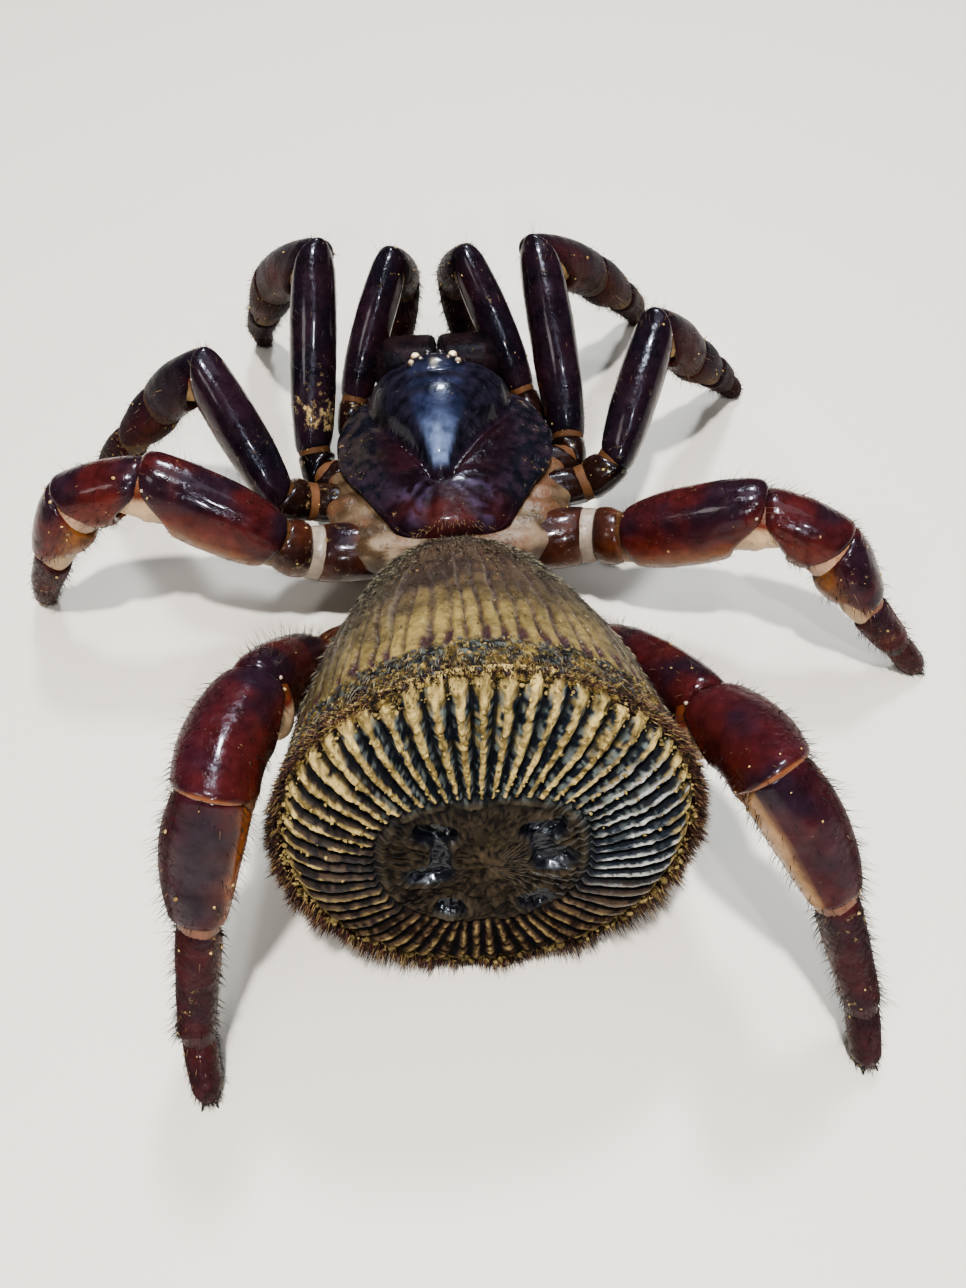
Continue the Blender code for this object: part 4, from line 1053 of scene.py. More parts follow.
def make_carapace():
    ny, nx = 120, 90
    ends = 0.5 - 0.5 * np.cos(np.pi * np.linspace(0, 1, ny))
    y0, y1 = CARAPACE_FRONT - 0.03, CARAPACE_REAR + 0.03
    ys = lerp(y0, y1, lerp(np.linspace(0, 1, ny), ends, 0.6))
    round_front = np.sqrt(np.clip(1 - (1 - np.clip((ys - y0) / 0.9, 0, 1)) ** 2, 0, 1))
    round_rear = np.sqrt(np.clip(1 - (1 - np.clip((y1 - ys) / 0.7, 0, 1)) ** 2, 0, 1))
    w = carapace_half_width(ys) * lerp(0.80, 1.0, round_front) * lerp(0.55, 1.0, round_rear)
    k = np.linspace(-1, 1, nx + 1)
    xs = np.sin(k * np.pi / 2)
    X = w[:, None] * xs[None]
    # each row runs straight across at one y
    Y = ys[:, None] + 0 * X
    wfull = carapace_half_width(ys)[:, None]
    Z = carapace_surface(X / w[:, None] * wfull, Y)
    edge = CARAPACE_RIM_Z + 0.05
    dome = lerp(0.35, 1.0, round_front)[:, None] * lerp(0.30, 1.0, round_rear)[:, None]
    Z = edge + (Z - edge) * dome
    G = np.stack((X, Y, Z), -1)
    lowx = np.array((0.99, 0.9, 0.5, -0.5, -0.9, -0.99))
    lowz = np.array((0.0, -0.04, -0.1, -0.1, -0.04, 0.0))
    L = np.stack((w[:, None] * lowx[None], np.broadcast_to(ys[:, None], (ny, 6)), np.broadcast_to(CARAPACE_RIM_Z + 0.02 + lowz[None], (ny, 6))), -1)
    ring = np.concatenate((G, L), 1)
    m = ring.shape[1]
    x, y, z = ring[..., 0], ring[..., 1], ring[..., 2]
    u = np.clip(np.abs(x) / wfull, 0, 1)
    v = np.abs(x) / caput_half(y)
    f = fractal(ring, 0.7, 101)
    g = fractal(ring, 2.6, 103)
    xl = x - lean(y) * (1 - u * u)
    v = np.abs(xl) / caput_half(y)
    thorax = mix(col(0.007, 0.003, 0.005), col(0.012, 0.0035, 0.0055), smooth(f, 0.35, 0.65))
    side = mix(col(0.005, 0.005, 0.008), col(0.014, 0.009, 0.014), smooth(g, 0.4, 0.6))
    tone = mix(thorax, side, smooth(u, 0.48, 0.74) * smooth(-y, -4.0, -2.0))
    rear = smooth(y, 1.8, 4.2) * (1 - smooth(u, 0.6, 0.95))
    tone = mix(tone, col(0.044, 0.010, 0.008), 0.75 * rear * smooth(f, 0.25, 0.6))
    # painted bluish sheen along two radial ridges on each side of the rear slope
    dx, dy = xl, y - 1.6
    a_ = np.arctan2(np.abs(dx), -dy)
    ridge = np.exp(-((a_ - 1.98) / 0.16) ** 2) + 0.8 * np.exp(-((a_ - 2.48) / 0.14) ** 2)
    tone = mix(tone, col(0.055, 0.040, 0.075), np.clip(0.55 * ridge * smooth(np.hypot(dx, dy), 0.5, 1.2) * (1 - smooth(u, 0.55, 0.85)), 0, 1) * smooth(g, 0.35, 0.6))
    caput = mix(col(0.004, 0.004, 0.007), col(0.011, 0.009, 0.016), smooth(g, 0.35, 0.6))
    tone = mix(tone, caput, (1 - smooth(v, 0.85, 1.15)) * (1 - smooth(y, 0.7, 1.9)))
    # painted bluish sheen in a V over the head part, barred across at the front and brightest towards its rear tip
    sheen_bars = 0.10 + 0.90 * (0.5 + 0.5 * np.cos((y + 4.3) * 5.6 + 1.2 * (f - 0.5)))
    half = table(((-5.4, 1.60), (-4.0, 1.55), (-2.0, 1.32), (0.0, 0.72), (1.1, 0.36)), y)
    sheen_vee = (1 - smooth(np.abs(xl) / half + 0.5 * (f - 0.5) + 0.3 * (g - 0.5), 0.72, 1.12)) * smooth(y, -5.2, -4.6) * (1 - smooth(y, 0.9, 1.5))
    sheen_blue = mix(col(0.016, 0.022, 0.052), col(0.100, 0.130, 0.215), smooth(y, -1.7, 0.5))
    tone = mix(tone, sheen_blue, 0.75 * sheen_vee * (0.62 + 0.38 * smooth(y, -3.0, -0.8)) * lerp(sheen_bars, 1.0, smooth(y, -2.8, -1.8)) * (0.6 + 0.4 * smooth(g, 0.35, 0.6)))
    olive = smooth(x, 2.6, 3.8) * smooth(-y, -1.0, 1.0) * smooth(0.6 * f + 0.4 * g, 0.50, 0.60)
    tone = mix(tone, col(0.040, 0.034, 0.018), 0.25 * olive)
    tone = mix(tone, col(0.28, 0.24, 0.16), 0.6 * np.exp(-((xl / 0.16) ** 2 + ((y - TUBERCLE_Y - 0.55) / 0.22) ** 2)))
    gloss = 1.0 - 0.25 * smooth(g, 0.5, 0.7) - 0.5 * olive - 0.25 * smooth(u, 0.4, 0.6) - 0.50 * smooth(y, 1.6, 2.6) - 0.55 * sheen_vee * smooth(y, -2.4, -1.2) - 0.4 * np.exp(-(xl * xl + (y - 1.6) ** 2) / 0.6)
    soil = 0.05 + 0.12 * smooth(u, 0.6, 0.95)
    V = np.concatenate((ring.reshape(-1, 3), ring[0].mean(0)[None], ring[-1].mean(0)[None]))
    q, t = loft_faces(ny, m, 0, ny * m, ny * m + 1)
    heap = Heap()
    heap.add(V, q, t, np.concatenate((tone.reshape(-1, 3), tone[0, :1], tone[-1, :1])),
             gloss=np.concatenate((gloss.ravel(), [0.5, 0.5])), grain=0.25, soil=np.concatenate((soil.ravel(), [0, 0])))
    finish(heap.make("carapace_plate"), "shell_dark", ["carapace"])


# for each eye: x to the side, y from the tubercle, radius, and how much painted eyeshine (a pale glow of reflected
# light) its lens gets
EYES = {
    "eye_front_middle": (0.34, -0.26, 0.17, 0.0),
    "eye_front_side": (0.98, -0.36, 0.25, 1.0),
    "eye_rear_side": (1.22, 0.24, 0.19, 0.35),
    "eye_rear_middle": (0.72, 0.18, 0.13, 0.15),
}


def dome(cx, cy, z0, r, n=28, rows=10, tall=0.85, base=0.0):
    a = 2 * np.pi * np.arange(n) / n
    el = np.linspace(base, np.pi / 2, rows)[:-1]
    G = np.stack([np.stack((cx + r * np.cos(e) * np.cos(a), cy + r * np.cos(e) * np.sin(a), np.full(n, z0 + r * tall * np.sin(e))), -1) for e in el])
    return G, np.array((cx, cy, z0 + r * tall))


def make_eyes():
    for name, (x, dy, r, pale) in EYES.items():
        for side, s in (("left", 1), ("right", -1)):
            cx, cy = s * x + 0.24, TUBERCLE_Y + dy
            z0 = float(carapace_surface(np.array(cx), np.array(cy))) - 0.02
            heap = Heap()
            # a socket ring round the eye, then the domed lens over a darker ground
            a = 2 * np.pi * np.arange(28) / 28
            rows = [np.stack((cx + r * q * np.cos(a), cy + r * q * np.sin(a), np.full(28, z0 + h)), -1)
                    for q, h in ((1.45, -0.14), (1.38, 0.0), (1.20, 0.075), (1.04, 0.05), (0.98, -0.05))]
            G = np.array(rows)
            V = np.concatenate((G.reshape(-1, 3), G[0].mean(0)[None], G[-1].mean(0)[None]))
            q, t = loft_faces(len(rows), 28, 0, len(rows) * 28, len(rows) * 28 + 1)
            heap.add(V, q, t, col(0.010, 0.007, 0.010), gloss=0.7, grain=0.2)
            G, pole = dome(cx, cy, z0, r)
            G = np.concatenate((G[:1] - np.array((0, 0, 0.12)), G))
            V = np.concatenate((G.reshape(-1, 3), G[0].mean(0)[None], pole[None]))
            n = len(G)
            q, t = loft_faces(n, 28, 0, n * 28, n * 28 + 1)
            d = np.linalg.norm(V[:, :2] - np.array((cx, cy)), axis=1) / r
            # the pale share is painted eyeshine: a cream glow in the middle of the lens fading to amber at the rim
            tone = lerp(mix(col(0.010, 0.008, 0.010), col(0.05, 0.03, 0.02), smooth(d, 0.7, 1.0)),
                        mix(col(0.78, 0.64, 0.42), col(0.26, 0.15, 0.07), smooth(d, 0.45, 0.95)), pale)
            heap.add(V, q, t, tone, gloss=1.0, grain=0.0)
            finish(heap.make(name + "_" + side + "_lens"), "eye", [name + "_" + side])


def loft_body(heap, G, tone, gloss=0.8, grain=0.3, soil=0.0):
    n, m = G.shape[:2]
    V = np.concatenate((G.reshape(-1, 3), G[0].mean(0)[None], G[-1].mean(0)[None]))
    q, t = loft_faces(n, m, 0, n * m, n * m + 1)
    tone = np.broadcast_to(tone, G.shape) if np.ndim(tone) == 1 else tone
    ex = lambda a: np.concatenate((np.broadcast_to(a, (n, m)).ravel(), [0.5, 0.5]))
    heap.add(V, q, t, np.concatenate((tone.reshape(-1, 3), tone[0, :1], tone[-1, :1])), gloss=ex(gloss), grain=ex(grain), soil=ex(soil))


JAWS = {}


def make_jaws():
    m = 48
    a = 2 * np.pi * np.arange(m) / m
    for side, s in (("left", 1), ("right", -1)):
        tt = 0.5 - 0.5 * np.cos(np.pi * np.linspace(0, 1, 40))
        y = CARAPACE_FRONT - 0.02 - tt * 4.15
        half = table(((0, 1.60), (0.15, 1.74), (0.5, 1.74), (0.82, 1.66), (0.95, 1.45), (1.0, 1.05)), tt)
        top = table(((0, 8.35), (0.2, 8.60), (0.55, 8.35), (0.85, 7.3), (1.0, 6.0)), tt)
        low = table(((0, 4.5), (0.5, 3.75), (0.9, 3.9), (1.0, 4.7)), tt)
        cx = s * (half + 0.01)
        c, sn = np.cos(a), np.sin(a)
        inner = c * s < 0
        G = np.stack((cx[:, None] + half[:, None] * np.sign(c) * np.abs(c) ** np.where(inner, 0.22, 0.52), np.broadcast_to(y[:, None], (40, m)),
                      ((top + low) / 2)[:, None] + ((top - low) / 2)[:, None] * np.sign(sn) * np.abs(sn) ** np.where(inner, 0.30, 0.50)), -1)
        f = fractal(G, 1.2, 131)
        tone = mix(col(0.004, 0.003, 0.004), col(0.010, 0.005, 0.006), smooth(f, 0.35, 0.65))
        heap = Heap()
        loft_body(heap, G, tone, 0.25, 0.5, 0.08)
        JAWS[side] = (G, normals_of(G))
        # short thick spines of the digging rake, in front above the fang
        rng = np.random.default_rng(5)
        for k in range(14):
            px = s * (0.45 + 1.5 * rng.random())
            py = CARAPACE_FRONT - 3.2 - 0.8 * rng.random()
            base = np.array((px, py, 6.9 - 0.9 * rng.random()))
            dirn = unit(np.array((0.1 * s, -0.8, 0.25)))
            ring = []
            for q in (0, 0.5, 1.0):
                rr = lerp(0.09, 0.03, q)
                ring.append(np.stack((base[0] + dirn[0] * 0.5 * q + rr * np.cos(a[::6]), np.full(8, base[1] + dirn[1] * 0.5 * q),
                                      base[2] + dirn[2] * 0.5 * q + rr * np.sin(a[::6])), -1))
            loft_body(heap, np.array(ring), col(0.01, 0.007, 0.008), 0.9, 0.1)
        finish(heap.make("chelicera_" + side + "_plate"), "shell_dark", ["chelicera_" + side])
        heap = Heap()
        rings = []
        b = 2 * np.pi * np.arange(20) / 20
        for q in np.linspace(0, 1, 22):
            yy = CARAPACE_FRONT - 4.2 + 0.15 + q * 3.6
            x = s * (1.85 - 0.55 * q * q)
            z = 3.2 - 1.15 * math.sin(q * math.pi * 0.62) - 0.1 * q
            r = lerp(0.5, 0.05, q ** 0.8)
            rings.append(np.stack((x + r * np.cos(b), yy + 0.35 * r * np.sin(b), z + r * np.sin(b)), -1))
        loft_body(heap, np.array(rings), mix(col(0.035, 0.008, 0.006), col(0.010, 0.005, 0.005), np.broadcast_to(np.linspace(0, 1, 22)[:, None], (22, 20))), 0.95, 0.1)
        finish(heap.make("fang_" + side + "_horn"), "fang", ["fang_" + side])


def make_underside():
    """Sternum with its lip and the two spinning organs under the sac."""
    heap = Heap()
    m = 44
    a = 2 * np.pi * np.arange(m) / m
    c, sn = np.cos(a), np.sin(a)
    ys = np.linspace(-4.4, 5.4, 60)
    w = table(((-4.4, 0.5), (-4.0, 1.0), (-3.1, 1.15), (-2.8, 1.35), (-1.5, 1.9), (0.3, 2.15), (2.4, 1.95), (4.2, 1.3), (5.4, 0.5)), ys)
    low = table(((-4.4, 3.3), (-3.4, 3.0), (-3.0, 3.1), (-2.4, 2.85), (0.0, 2.72), (2.4, 2.8), (5.4, 3.3)), ys)
    high = np.full_like(ys, 4.4)
    G = np.stack((w[:, None] * np.sign(c) * np.abs(c) ** 0.75, np.broadcast_to(ys[:, None], (60, m)),
                  ((high + low) / 2)[:, None] + ((high - low) / 2)[:, None] * np.sign(sn) * np.abs(sn) ** 0.75), -1)
    f = fractal(G, 1.2, 141)
    loft_body(heap, G, mix(col(0.10, 0.035, 0.018), col(0.21, 0.080, 0.030), smooth(f, 0.3, 0.7)), 0.6, 0.5, 0.05)
    finish(heap.make("sternum_plate"), "shell_red", ["sternum"])
    b = 2 * np.pi * np.arange(24) / 24
    for side, s in (("left", 1), ("right", -1)):
        heap = Heap()
        rings = []
        for q in np.linspace(0, 1, 30):
            r = table(((0.0, 0.30), (0.1, 0.36), (0.38, 0.33), (0.42, 0.27), (0.46, 0.31), (0.72, 0.27), (0.76, 0.20), (0.8, 0.22), (1.0, 0.07)), q)
            rings.append(np.stack((s * 0.85 + r * np.cos(b), np.full(24, 14.6 + 2.0 * q), 0.62 + 0.25 * (1 - q) + r * np.sin(b)), -1))
        loft_body(heap, np.array(rings), col(0.34, 0.21, 0.12), 0.5, 0.6, 0.05)
        finish(heap.make("spinneret_" + side + "_organ"), "skin", ["spinneret_" + side])


def make_claws():
    heap = Heap()
    b = 2 * np.pi * np.arange(10) / 10
    for side, leg in LIMBS:
        grid, nrm, t, ang, (d, right, up), length = GRIDS[(side, leg, "tarsus")]
        tip = grid[-3].mean(0)
        flat = unit(np.array((d[0], d[1], 0.0)))
        across = np.array((-flat[1], flat[0], 0.0))
        for off in ((-0.22, 0.22) if leg else (0.0,)):
            rings = []
            for q in np.linspace(0, 1, 10):
                c = tip + across * off * (1 + 0.5 * q) + flat * (0.02 + 0.30 * math.sin(q * 1.5)) + np.array((0, 0, 0.12 * math.sin(q * math.pi) - 0.05))
                c[2] = max(0.05, lerp(tip[2] + 0.15, 0.06, q ** 1.3))
                r = lerp(0.075, 0.015, q)
                rings.append(c + across * (r * np.cos(b))[:, None] + np.array((0, 0, 1.0)) * (r * np.sin(b))[:, None])
            loft_body(heap, np.array(rings), col(0.012, 0.007, 0.006), 0.9, 0.1)
    finish(heap.make("claws"), "fang")


# ------------------------------------------------------------------ coat
def hair_mesh(name, root, lie, bend, length, thick, tone, uv, mat, segs=2):
    """Tapered three-sided hairs; each hair's faces share one small patch of the map."""
    N = len(root)
    lie = unit(lie)
    a = unit(np.cross(lie, unit(bend + 1e-6)))
    b = np.cross(lie, a)
    verts, uvs = [], []
    for s in range(segs):
        q = s / segs
        c = root + lie * (length * q)[:, None] + bend * (length * 0.45 * q * q)[:, None]
        r = thick * (1.0 - 0.55 * q)
        for k in range(3):
            an = 2 * math.pi * k / 3
            verts.append(c + (a * math.cos(an) + b * math.sin(an)) * r[:, None])
            uvs.append(uv + np.array((k / 3.0, q)) * 0.003)
    verts.append(root + lie * length[:, None] + bend * (length * 0.45)[:, None])
    uvs.append(uv + np.array((0.5, 1.0)) * 0.003)
    per = 3 * segs + 1
    V = np.stack(verts, 1)
    V[..., 2] = np.maximum(V[..., 2], 0.015)
    U = np.stack(uvs, 1).reshape(-1, 2)
    base = np.arange(N)[:, None] * per
    quads, tris = [], []
    for s in range(segs - 1):
        for k in range(3):
            j = (k + 1) % 3
            quads.append(np.stack([base[:, 0] + 3 * s + k, base[:, 0] + 3 * s + j, base[:, 0] + 3 * s + 3 + j, base[:, 0] + 3 * s + 3 + k], -1))
    for k in range(3):
        j = (k + 1) % 3
        tris.append(np.stack([base[:, 0] + 3 * (segs - 1) + k, base[:, 0] + 3 * (segs - 1) + j, base[:, 0] + per - 1], -1))
    tris.append(np.stack([base[:, 0] + 2, base[:, 0] + 1, base[:, 0]], -1))
    C = np.repeat(np.broadcast_to(tone, (N, 3)), per, axis=0)
    obj = build(name, V.reshape(-1, 3), np.concatenate(quads) if quads else None, np.concatenate(tris), C, None, U)
    return finish(obj, mat)


# For each piece: hairs per mm of length, shortest and longest, half thickness, lean from
# the surface (0 lies flat, 1 stands straight).
COAT = {
    "coxa": (8, 0.2, 0.5, 0.012, 0.45), "trochanter": (16, 0.2, 0.5, 0.012, 0.5),
    "femur": (26, 0.18, 0.5, 0.012, 0.45), "patella": (66, 0.24, 0.66, 0.013, 0.90),
    "tibia": (86, 0.24, 0.72, 0.013, 0.90), "metatarsus": (120, 0.24, 0.70, 0.013, 0.90),
    "tarsus": (150, 0.16, 0.46, 0.012, 0.80),
}


def limb_coat():
    rng = np.random.default_rng(11)
    cell = 0
    batches = {}
    for side, leg in LIMBS:
        face = -1.0 if side == "left" else 1.0
        for name in (NAMES if leg else PALP_NAMES):
            grid, nrm, t, ang, (d, right, up), length = GRIDS[(side, leg, name)]
            n, m = grid.shape[:2]
            per, lo, hi, thick, lean_ = COAT[name]
            if leg < 3 and name in ("patella", "tibia", "metatarsus"):
                per, lean_ = int(per * 0.8), lean_ * 0.7
            if leg == 0 and name == "tibia":
                per = 120
            sets = [(int(per * length), lo, hi, thick, lean_, 0)]
            # long thin hairs that stand clear of the upper and outer edges
            sets.append((int({"femur": 9, "patella": 10, "tibia": 14, "metatarsus": 12}.get(name, 0) * length * (1.4 if leg in (3, 4) else 0.8)), 0.55, 1.05, 0.008, 1.0, 1))
            for N, lo, hi, thick, lean_, tall in sets:
                if N < 1:
                    continue
                u = rng.random(N * 4)
                ph = rng.random(N * 4) * 2 * np.pi
                rear = np.cos(ph) * face
                sa = np.sin(ph)
                if tall:
                    keep = smooth(sa, 0.55, 0.95) if name == "femur" else smooth(-rear, 0.35, 0.8) + 0.3 * smooth(-sa, 0.5, 0.9)
                elif name in ("patella", "tibia", "metatarsus"):
                    keep = 0.10 + 0.95 * smooth(-rear, 0.30, 0.75) + 0.50 * smooth(rear, 0.75, 0.98) + 0.35 * smooth(-sa, 0.2, 0.8)
                elif name == "femur":
                    keep = 0.12 + 0.6 * smooth(sa, 0.70, 1.0) + 0.6 * smooth(-sa, 0.5, 1.0)
                else:
                    keep = np.full(N * 4, 0.6)
                ok = rng.random(N * 4) < keep
                u, ph = u[ok][:N], ph[ok][:N]
                N = len(u)
                fi = u * (n - 1.001)
                i0 = fi.astype(int)
                j0 = (ph / (2 * np.pi) * m).astype(int) % m
                P = grid[i0, j0] * (1 - (fi - i0))[:, None] + grid[i0 + 1, j0] * (fi - i0)[:, None]
                Nn = nrm[i0, j0]
                L = lo + (hi - lo) * rng.random(N) ** 1.8
                lie = unit(Nn * (lean_ + 0.35 * (rng.random(N) - 0.3))[:, None] + d * (0.30 if tall else 0.75) + (rng.random((N, 3)) - 0.5) * 0.5)
                bend = np.broadcast_to(d * 0.35, P.shape) - Nn * 0.25
                pale = (rng.random(N) < (0.05 if not tall else 0.25))[:, None]
                dark = col(0.009, 0.005, 0.005) + rng.random((N, 1)) * 0.012
                tone = np.where(pale, col(0.22, 0.14, 0.075), dark)
                if name == "tarsus":
                    tone = tone + col(0.010, 0.005, 0.003)
                cx, cy = cell % 9, cell // 9
                uv = np.stack(((cx + 0.04 + 0.88 * ph / (2 * np.pi)) / 9.0, (cy + 0.04 + 0.88 * u) / 9.0), -1)
                batches.setdefault((side, "fore" if leg in (0, 1, 2) else "hind"), []).append(
                    (P - Nn * 0.03, lie, bend, L, np.full(N, thick) * (0.75 + 0.5 * rng.random(N)), tone, uv))
            cell += 1
    for (side, which), parts in batches.items():
        cat = [np.concatenate([p[k] for p in parts]) for k in range(7)]
        hair_mesh("leg_coat_" + side + "_" + which, cat[0], cat[1], cat[2], cat[3], cat[4], cat[5], cat[6], "bristle")


def sac_coat(sac):
    P, nrm, T, A = sac
    rng = np.random.default_rng(23)
    n, m = T.shape
    N = 26500
    u, ph = rng.random(N) ** 0.8, rng.random(N) * 2 * np.pi
    top = np.sin(ph)
    dens = 0.10 + 0.75 * (1 - smooth(u, 0.15, 0.50)) + 0.75 * (1 - smooth(top, 0.1, 0.75)) + 0.65 * smooth(u, 0.84, 0.95)
    ok = rng.random(N) < dens
    u, ph = u[ok], ph[ok]
    N = len(u)
    ti = np.interp(u, T[:, 0], np.arange(n))
    i0 = np.clip(ti.astype(int), 0, n - 2)
    j0 = (ph / (2 * np.pi) * m).astype(int) % m
    root = P[i0, j0] + (P[i0 + 1, j0] - P[i0, j0]) * (ti - i0)[:, None]
    Nn = nrm[i0, j0]
    along = unit(P[np.minimum(i0 + 4, n - 1), j0] - P[np.maximum(i0 - 1, 0), j0])
    L = 0.26 + 0.36 * rng.random(N) + 0.25 * smooth(u, 0.82, 1.0) * rng.random(N)
    L = L * (1 - 0.45 * smooth(u, 0.35, 0.5) * (1 - smooth(u, 0.82, 0.88)) * smooth(np.sin(ph), 0.3, 0.8))
    lie = unit(Nn * (0.15 + 0.35 * rng.random(N))[:, None] + along * 0.9 + (rng.random((N, 3)) - 0.5) * 0.45)
    bend = -Nn * 0.3 + along * 0.2
    pale = (rng.random(N) < 0.32)[:, None]
    tone = np.where(pale, col(0.23, 0.20, 0.135), col(0.018, 0.014, 0.012) + rng.random((N, 1)) * 0.02)
    uv = np.stack((0.01 + 0.98 * ph / (2 * np.pi), 0.01 + 0.98 * u), -1)
    hair_mesh("abdomen_coat", root - Nn * 0.03, lie, bend, L, 0.014 + 0.007 * rng.random(N), tone, uv, "down")


def rim_coat():
    """Short dense bristles all round the rim, longest underneath."""
    rng = np.random.default_rng(31)
    for piece, N, wide in (("rim_fringe_inner", 12000, 0.75), ("rim_fringe_outer", 13000, 1.5)):
        th = rng.random(N) * 2 * np.pi
        down = smooth(-np.cos(th), -0.85, 0.1)
        ok = rng.random(N) < (0.55 if wide > 1 else 0.38) + 0.45 * down
        th = th[ok]
        N = len(th)
        back = rng.random(N)
        radial = np.sin(th)[:, None] * DISK_X + np.cos(th)[:, None] * DISK_U
        root = DISK_CENTRE + radial * (RIM_RADIUS - 0.10 - 0.35 * (1 - back) * (wide > 1))[:, None] + DISK_N * (0.22 - wide * (1 - back))[:, None]
        if wide < 1:
            root = DISK_CENTRE + radial * (7.44 + 0.42 * back)[:, None] + DISK_N * (0.10 + 0.22 * rng.random(N))[:, None]
        down = smooth(-np.cos(th), -0.4, 0.6)
        clump = noise(np.stack((np.cos(th) * 14, np.sin(th) * 14, back * 2), -1), 1.0, 61)
        L = 0.26 + 0.38 * rng.random(N) + 0.55 * down * smooth(clump, 0.4, 0.7) * rng.random(N)
        lie = unit(radial * (0.55 + 0.45 * rng.random(N))[:, None] + DISK_N * (0.15 + 0.85 * rng.random(N))[:, None] + (rng.random((N, 3)) - 0.5) * 0.7)
        bend = np.broadcast_to(DISK_N * 0.3, root.shape) - radial * 0.1
        root[:, 2] = np.maximum(root[:, 2], 0.05)
        mixv = rng.random((N, 1))
        tone = np.where(mixv < 0.50, col(0.016, 0.009, 0.009), np.where(mixv < 0.84, col(0.070, 0.028, 0.022), col(0.26, 0.175, 0.07)))
        uv = np.stack((0.01 + 0.98 * th / (2 * np.pi), 0.01 + 0.98 * back), -1)
        hair_mesh(piece, root, lie, bend, L, 0.015 + 0.012 * rng.random(N), tone, uv, "bristle")


def head_coat():
    """Sparse bristles on the jaws, the carapace's rear margin and between the eyes."""
    rng = np.random.default_rng(41)
    roots, lies, bends, Ls, tones, uvs = [], [], [], [], [], []
    for k, side in enumerate(("left", "right")):
        G, Nn = JAWS[side]
        N = 260
        i = (rng.random(N) * 38).astype(int)
        j = (rng.random(N) * 48).astype(int) % 48
        roots.append(G[i, j]); n_ = Nn[i, j]
        lies.append(unit(n_ * 0.6 + np.array((0, -0.9, 0.0)) + (rng.random((N, 3)) - 0.5) * 0.5))
        bends.append(np.broadcast_to(np.array((0.0, -0.3, -0.2)), (N, 3)))
        Ls.append(0.20 + 0.35 * rng.random(N)); tones.append(np.broadcast_to(col(0.010, 0.006, 0.006), (N, 3)))
        uvs.append(np.stack((0.02 + 0.4 * k + 0.35 * j / 48.0, 0.02 + 0.4 * i / 40.0), -1))
    N = 110
    x = (rng.random(N) - 0.5) * 4.2
    y = CARAPACE_REAR - 0.15 - 0.5 * rng.random(N)
    roots.append(np.stack((x, y, carapace_surface(x, y) - 0.35 * (np.abs(x) / 2.2) - 0.12), -1))
    lies.append(unit(np.stack((0.2 * x, np.full(N, 0.9), np.full(N, 0.55)), -1) + (rng.random((N, 3)) - 0.5) * 0.4))
    bends.append(np.broadcast_to(np.array((0.0, 0.2, -0.2)), (N, 3)))
    Ls.append(0.35 + 0.4 * rng.random(N)); tones.append(np.broadcast_to(col(0.24, 0.15, 0.07), (N, 3)))
    uvs.append(np.stack((0.05 + 0.2 * rng.random(N), np.full(N, 0.8)), -1))
    N = 34
    x = (rng.random(N) - 0.5) * 2.4
    y = TUBERCLE_Y - 0.75 - 0.25 * rng.random(N)
    roots.append(np.stack((x, y, carapace_surface(x, y) - 0.1), -1))
    lies.append(unit(np.stack((0.1 * x, np.full(N, -0.8), np.full(N, 0.9)), -1) + (rng.random((N, 3)) - 0.5) * 0.3))
    bends.append(np.broadcast_to(np.array((0.0, -0.2, -0.1)), (N, 3)))
    Ls.append(0.3 + 0.5 * rng.random(N)); tones.append(np.broadcast_to(col(0.02, 0.012, 0.010), (N, 3)))
    uvs.append(np.stack((0.5 + 0.2 * rng.random(N), np.full(N, 0.9)), -1))
    cat = [np.concatenate(v) for v in (roots, lies, bends, Ls, tones, uvs)]
    hair_mesh("head_coat", cat[0], cat[1], cat[2], cat[3], np.full(len(cat[3]), 0.012), cat[4], cat[5], "bristle")


ICO_V = None


def crumbs(heap, centres, sizes, tones, seed):
    """Small irregular lumps of dried soil."""
    g = (1 + 5 ** 0.5) / 2
    iv = unit(np.array([(-1, g, 0), (1, g, 0), (-1, -g, 0), (1, -g, 0), (0, -1, g), (0, 1, g), (0, -1, -g), (0, 1, -g), (g, 0, -1), (g, 0, 1), (-g, 0, -1), (-g, 0, 1)], float))
    it = np.array([(0, 11, 5), (0, 5, 1), (0, 1, 7), (0, 7, 10), (0, 10, 11), (1, 5, 9), (5, 11, 4), (11, 10, 2), (10, 7, 6), (7, 1, 8),
                   (3, 9, 4), (3, 4, 2), (3, 2, 6), (3, 6, 8), (3, 8, 9), (4, 9, 5), (2, 4, 11), (6, 2, 10), (8, 6, 7), (9, 8, 1)])
    rng = np.random.default_rng(seed)
    N = len(centres)
    r = 0.65 + 0.7 * rng.random((N, 12, 1))
    squash = 0.6 + 0.7 * rng.random((N, 1, 3))
    V = centres[:, None, :] + iv[None] * r * squash * sizes[:, None, None]
    V[..., 2] = np.maximum(V[..., 2], 0.0)
    T = it[None] + (np.arange(N) * 12)[:, None, None]
    heap.add(V.reshape(-1, 3), None, T.reshape(-1, 3), np.repeat(tones, 12, axis=0), gloss=0.1, grain=0.8)


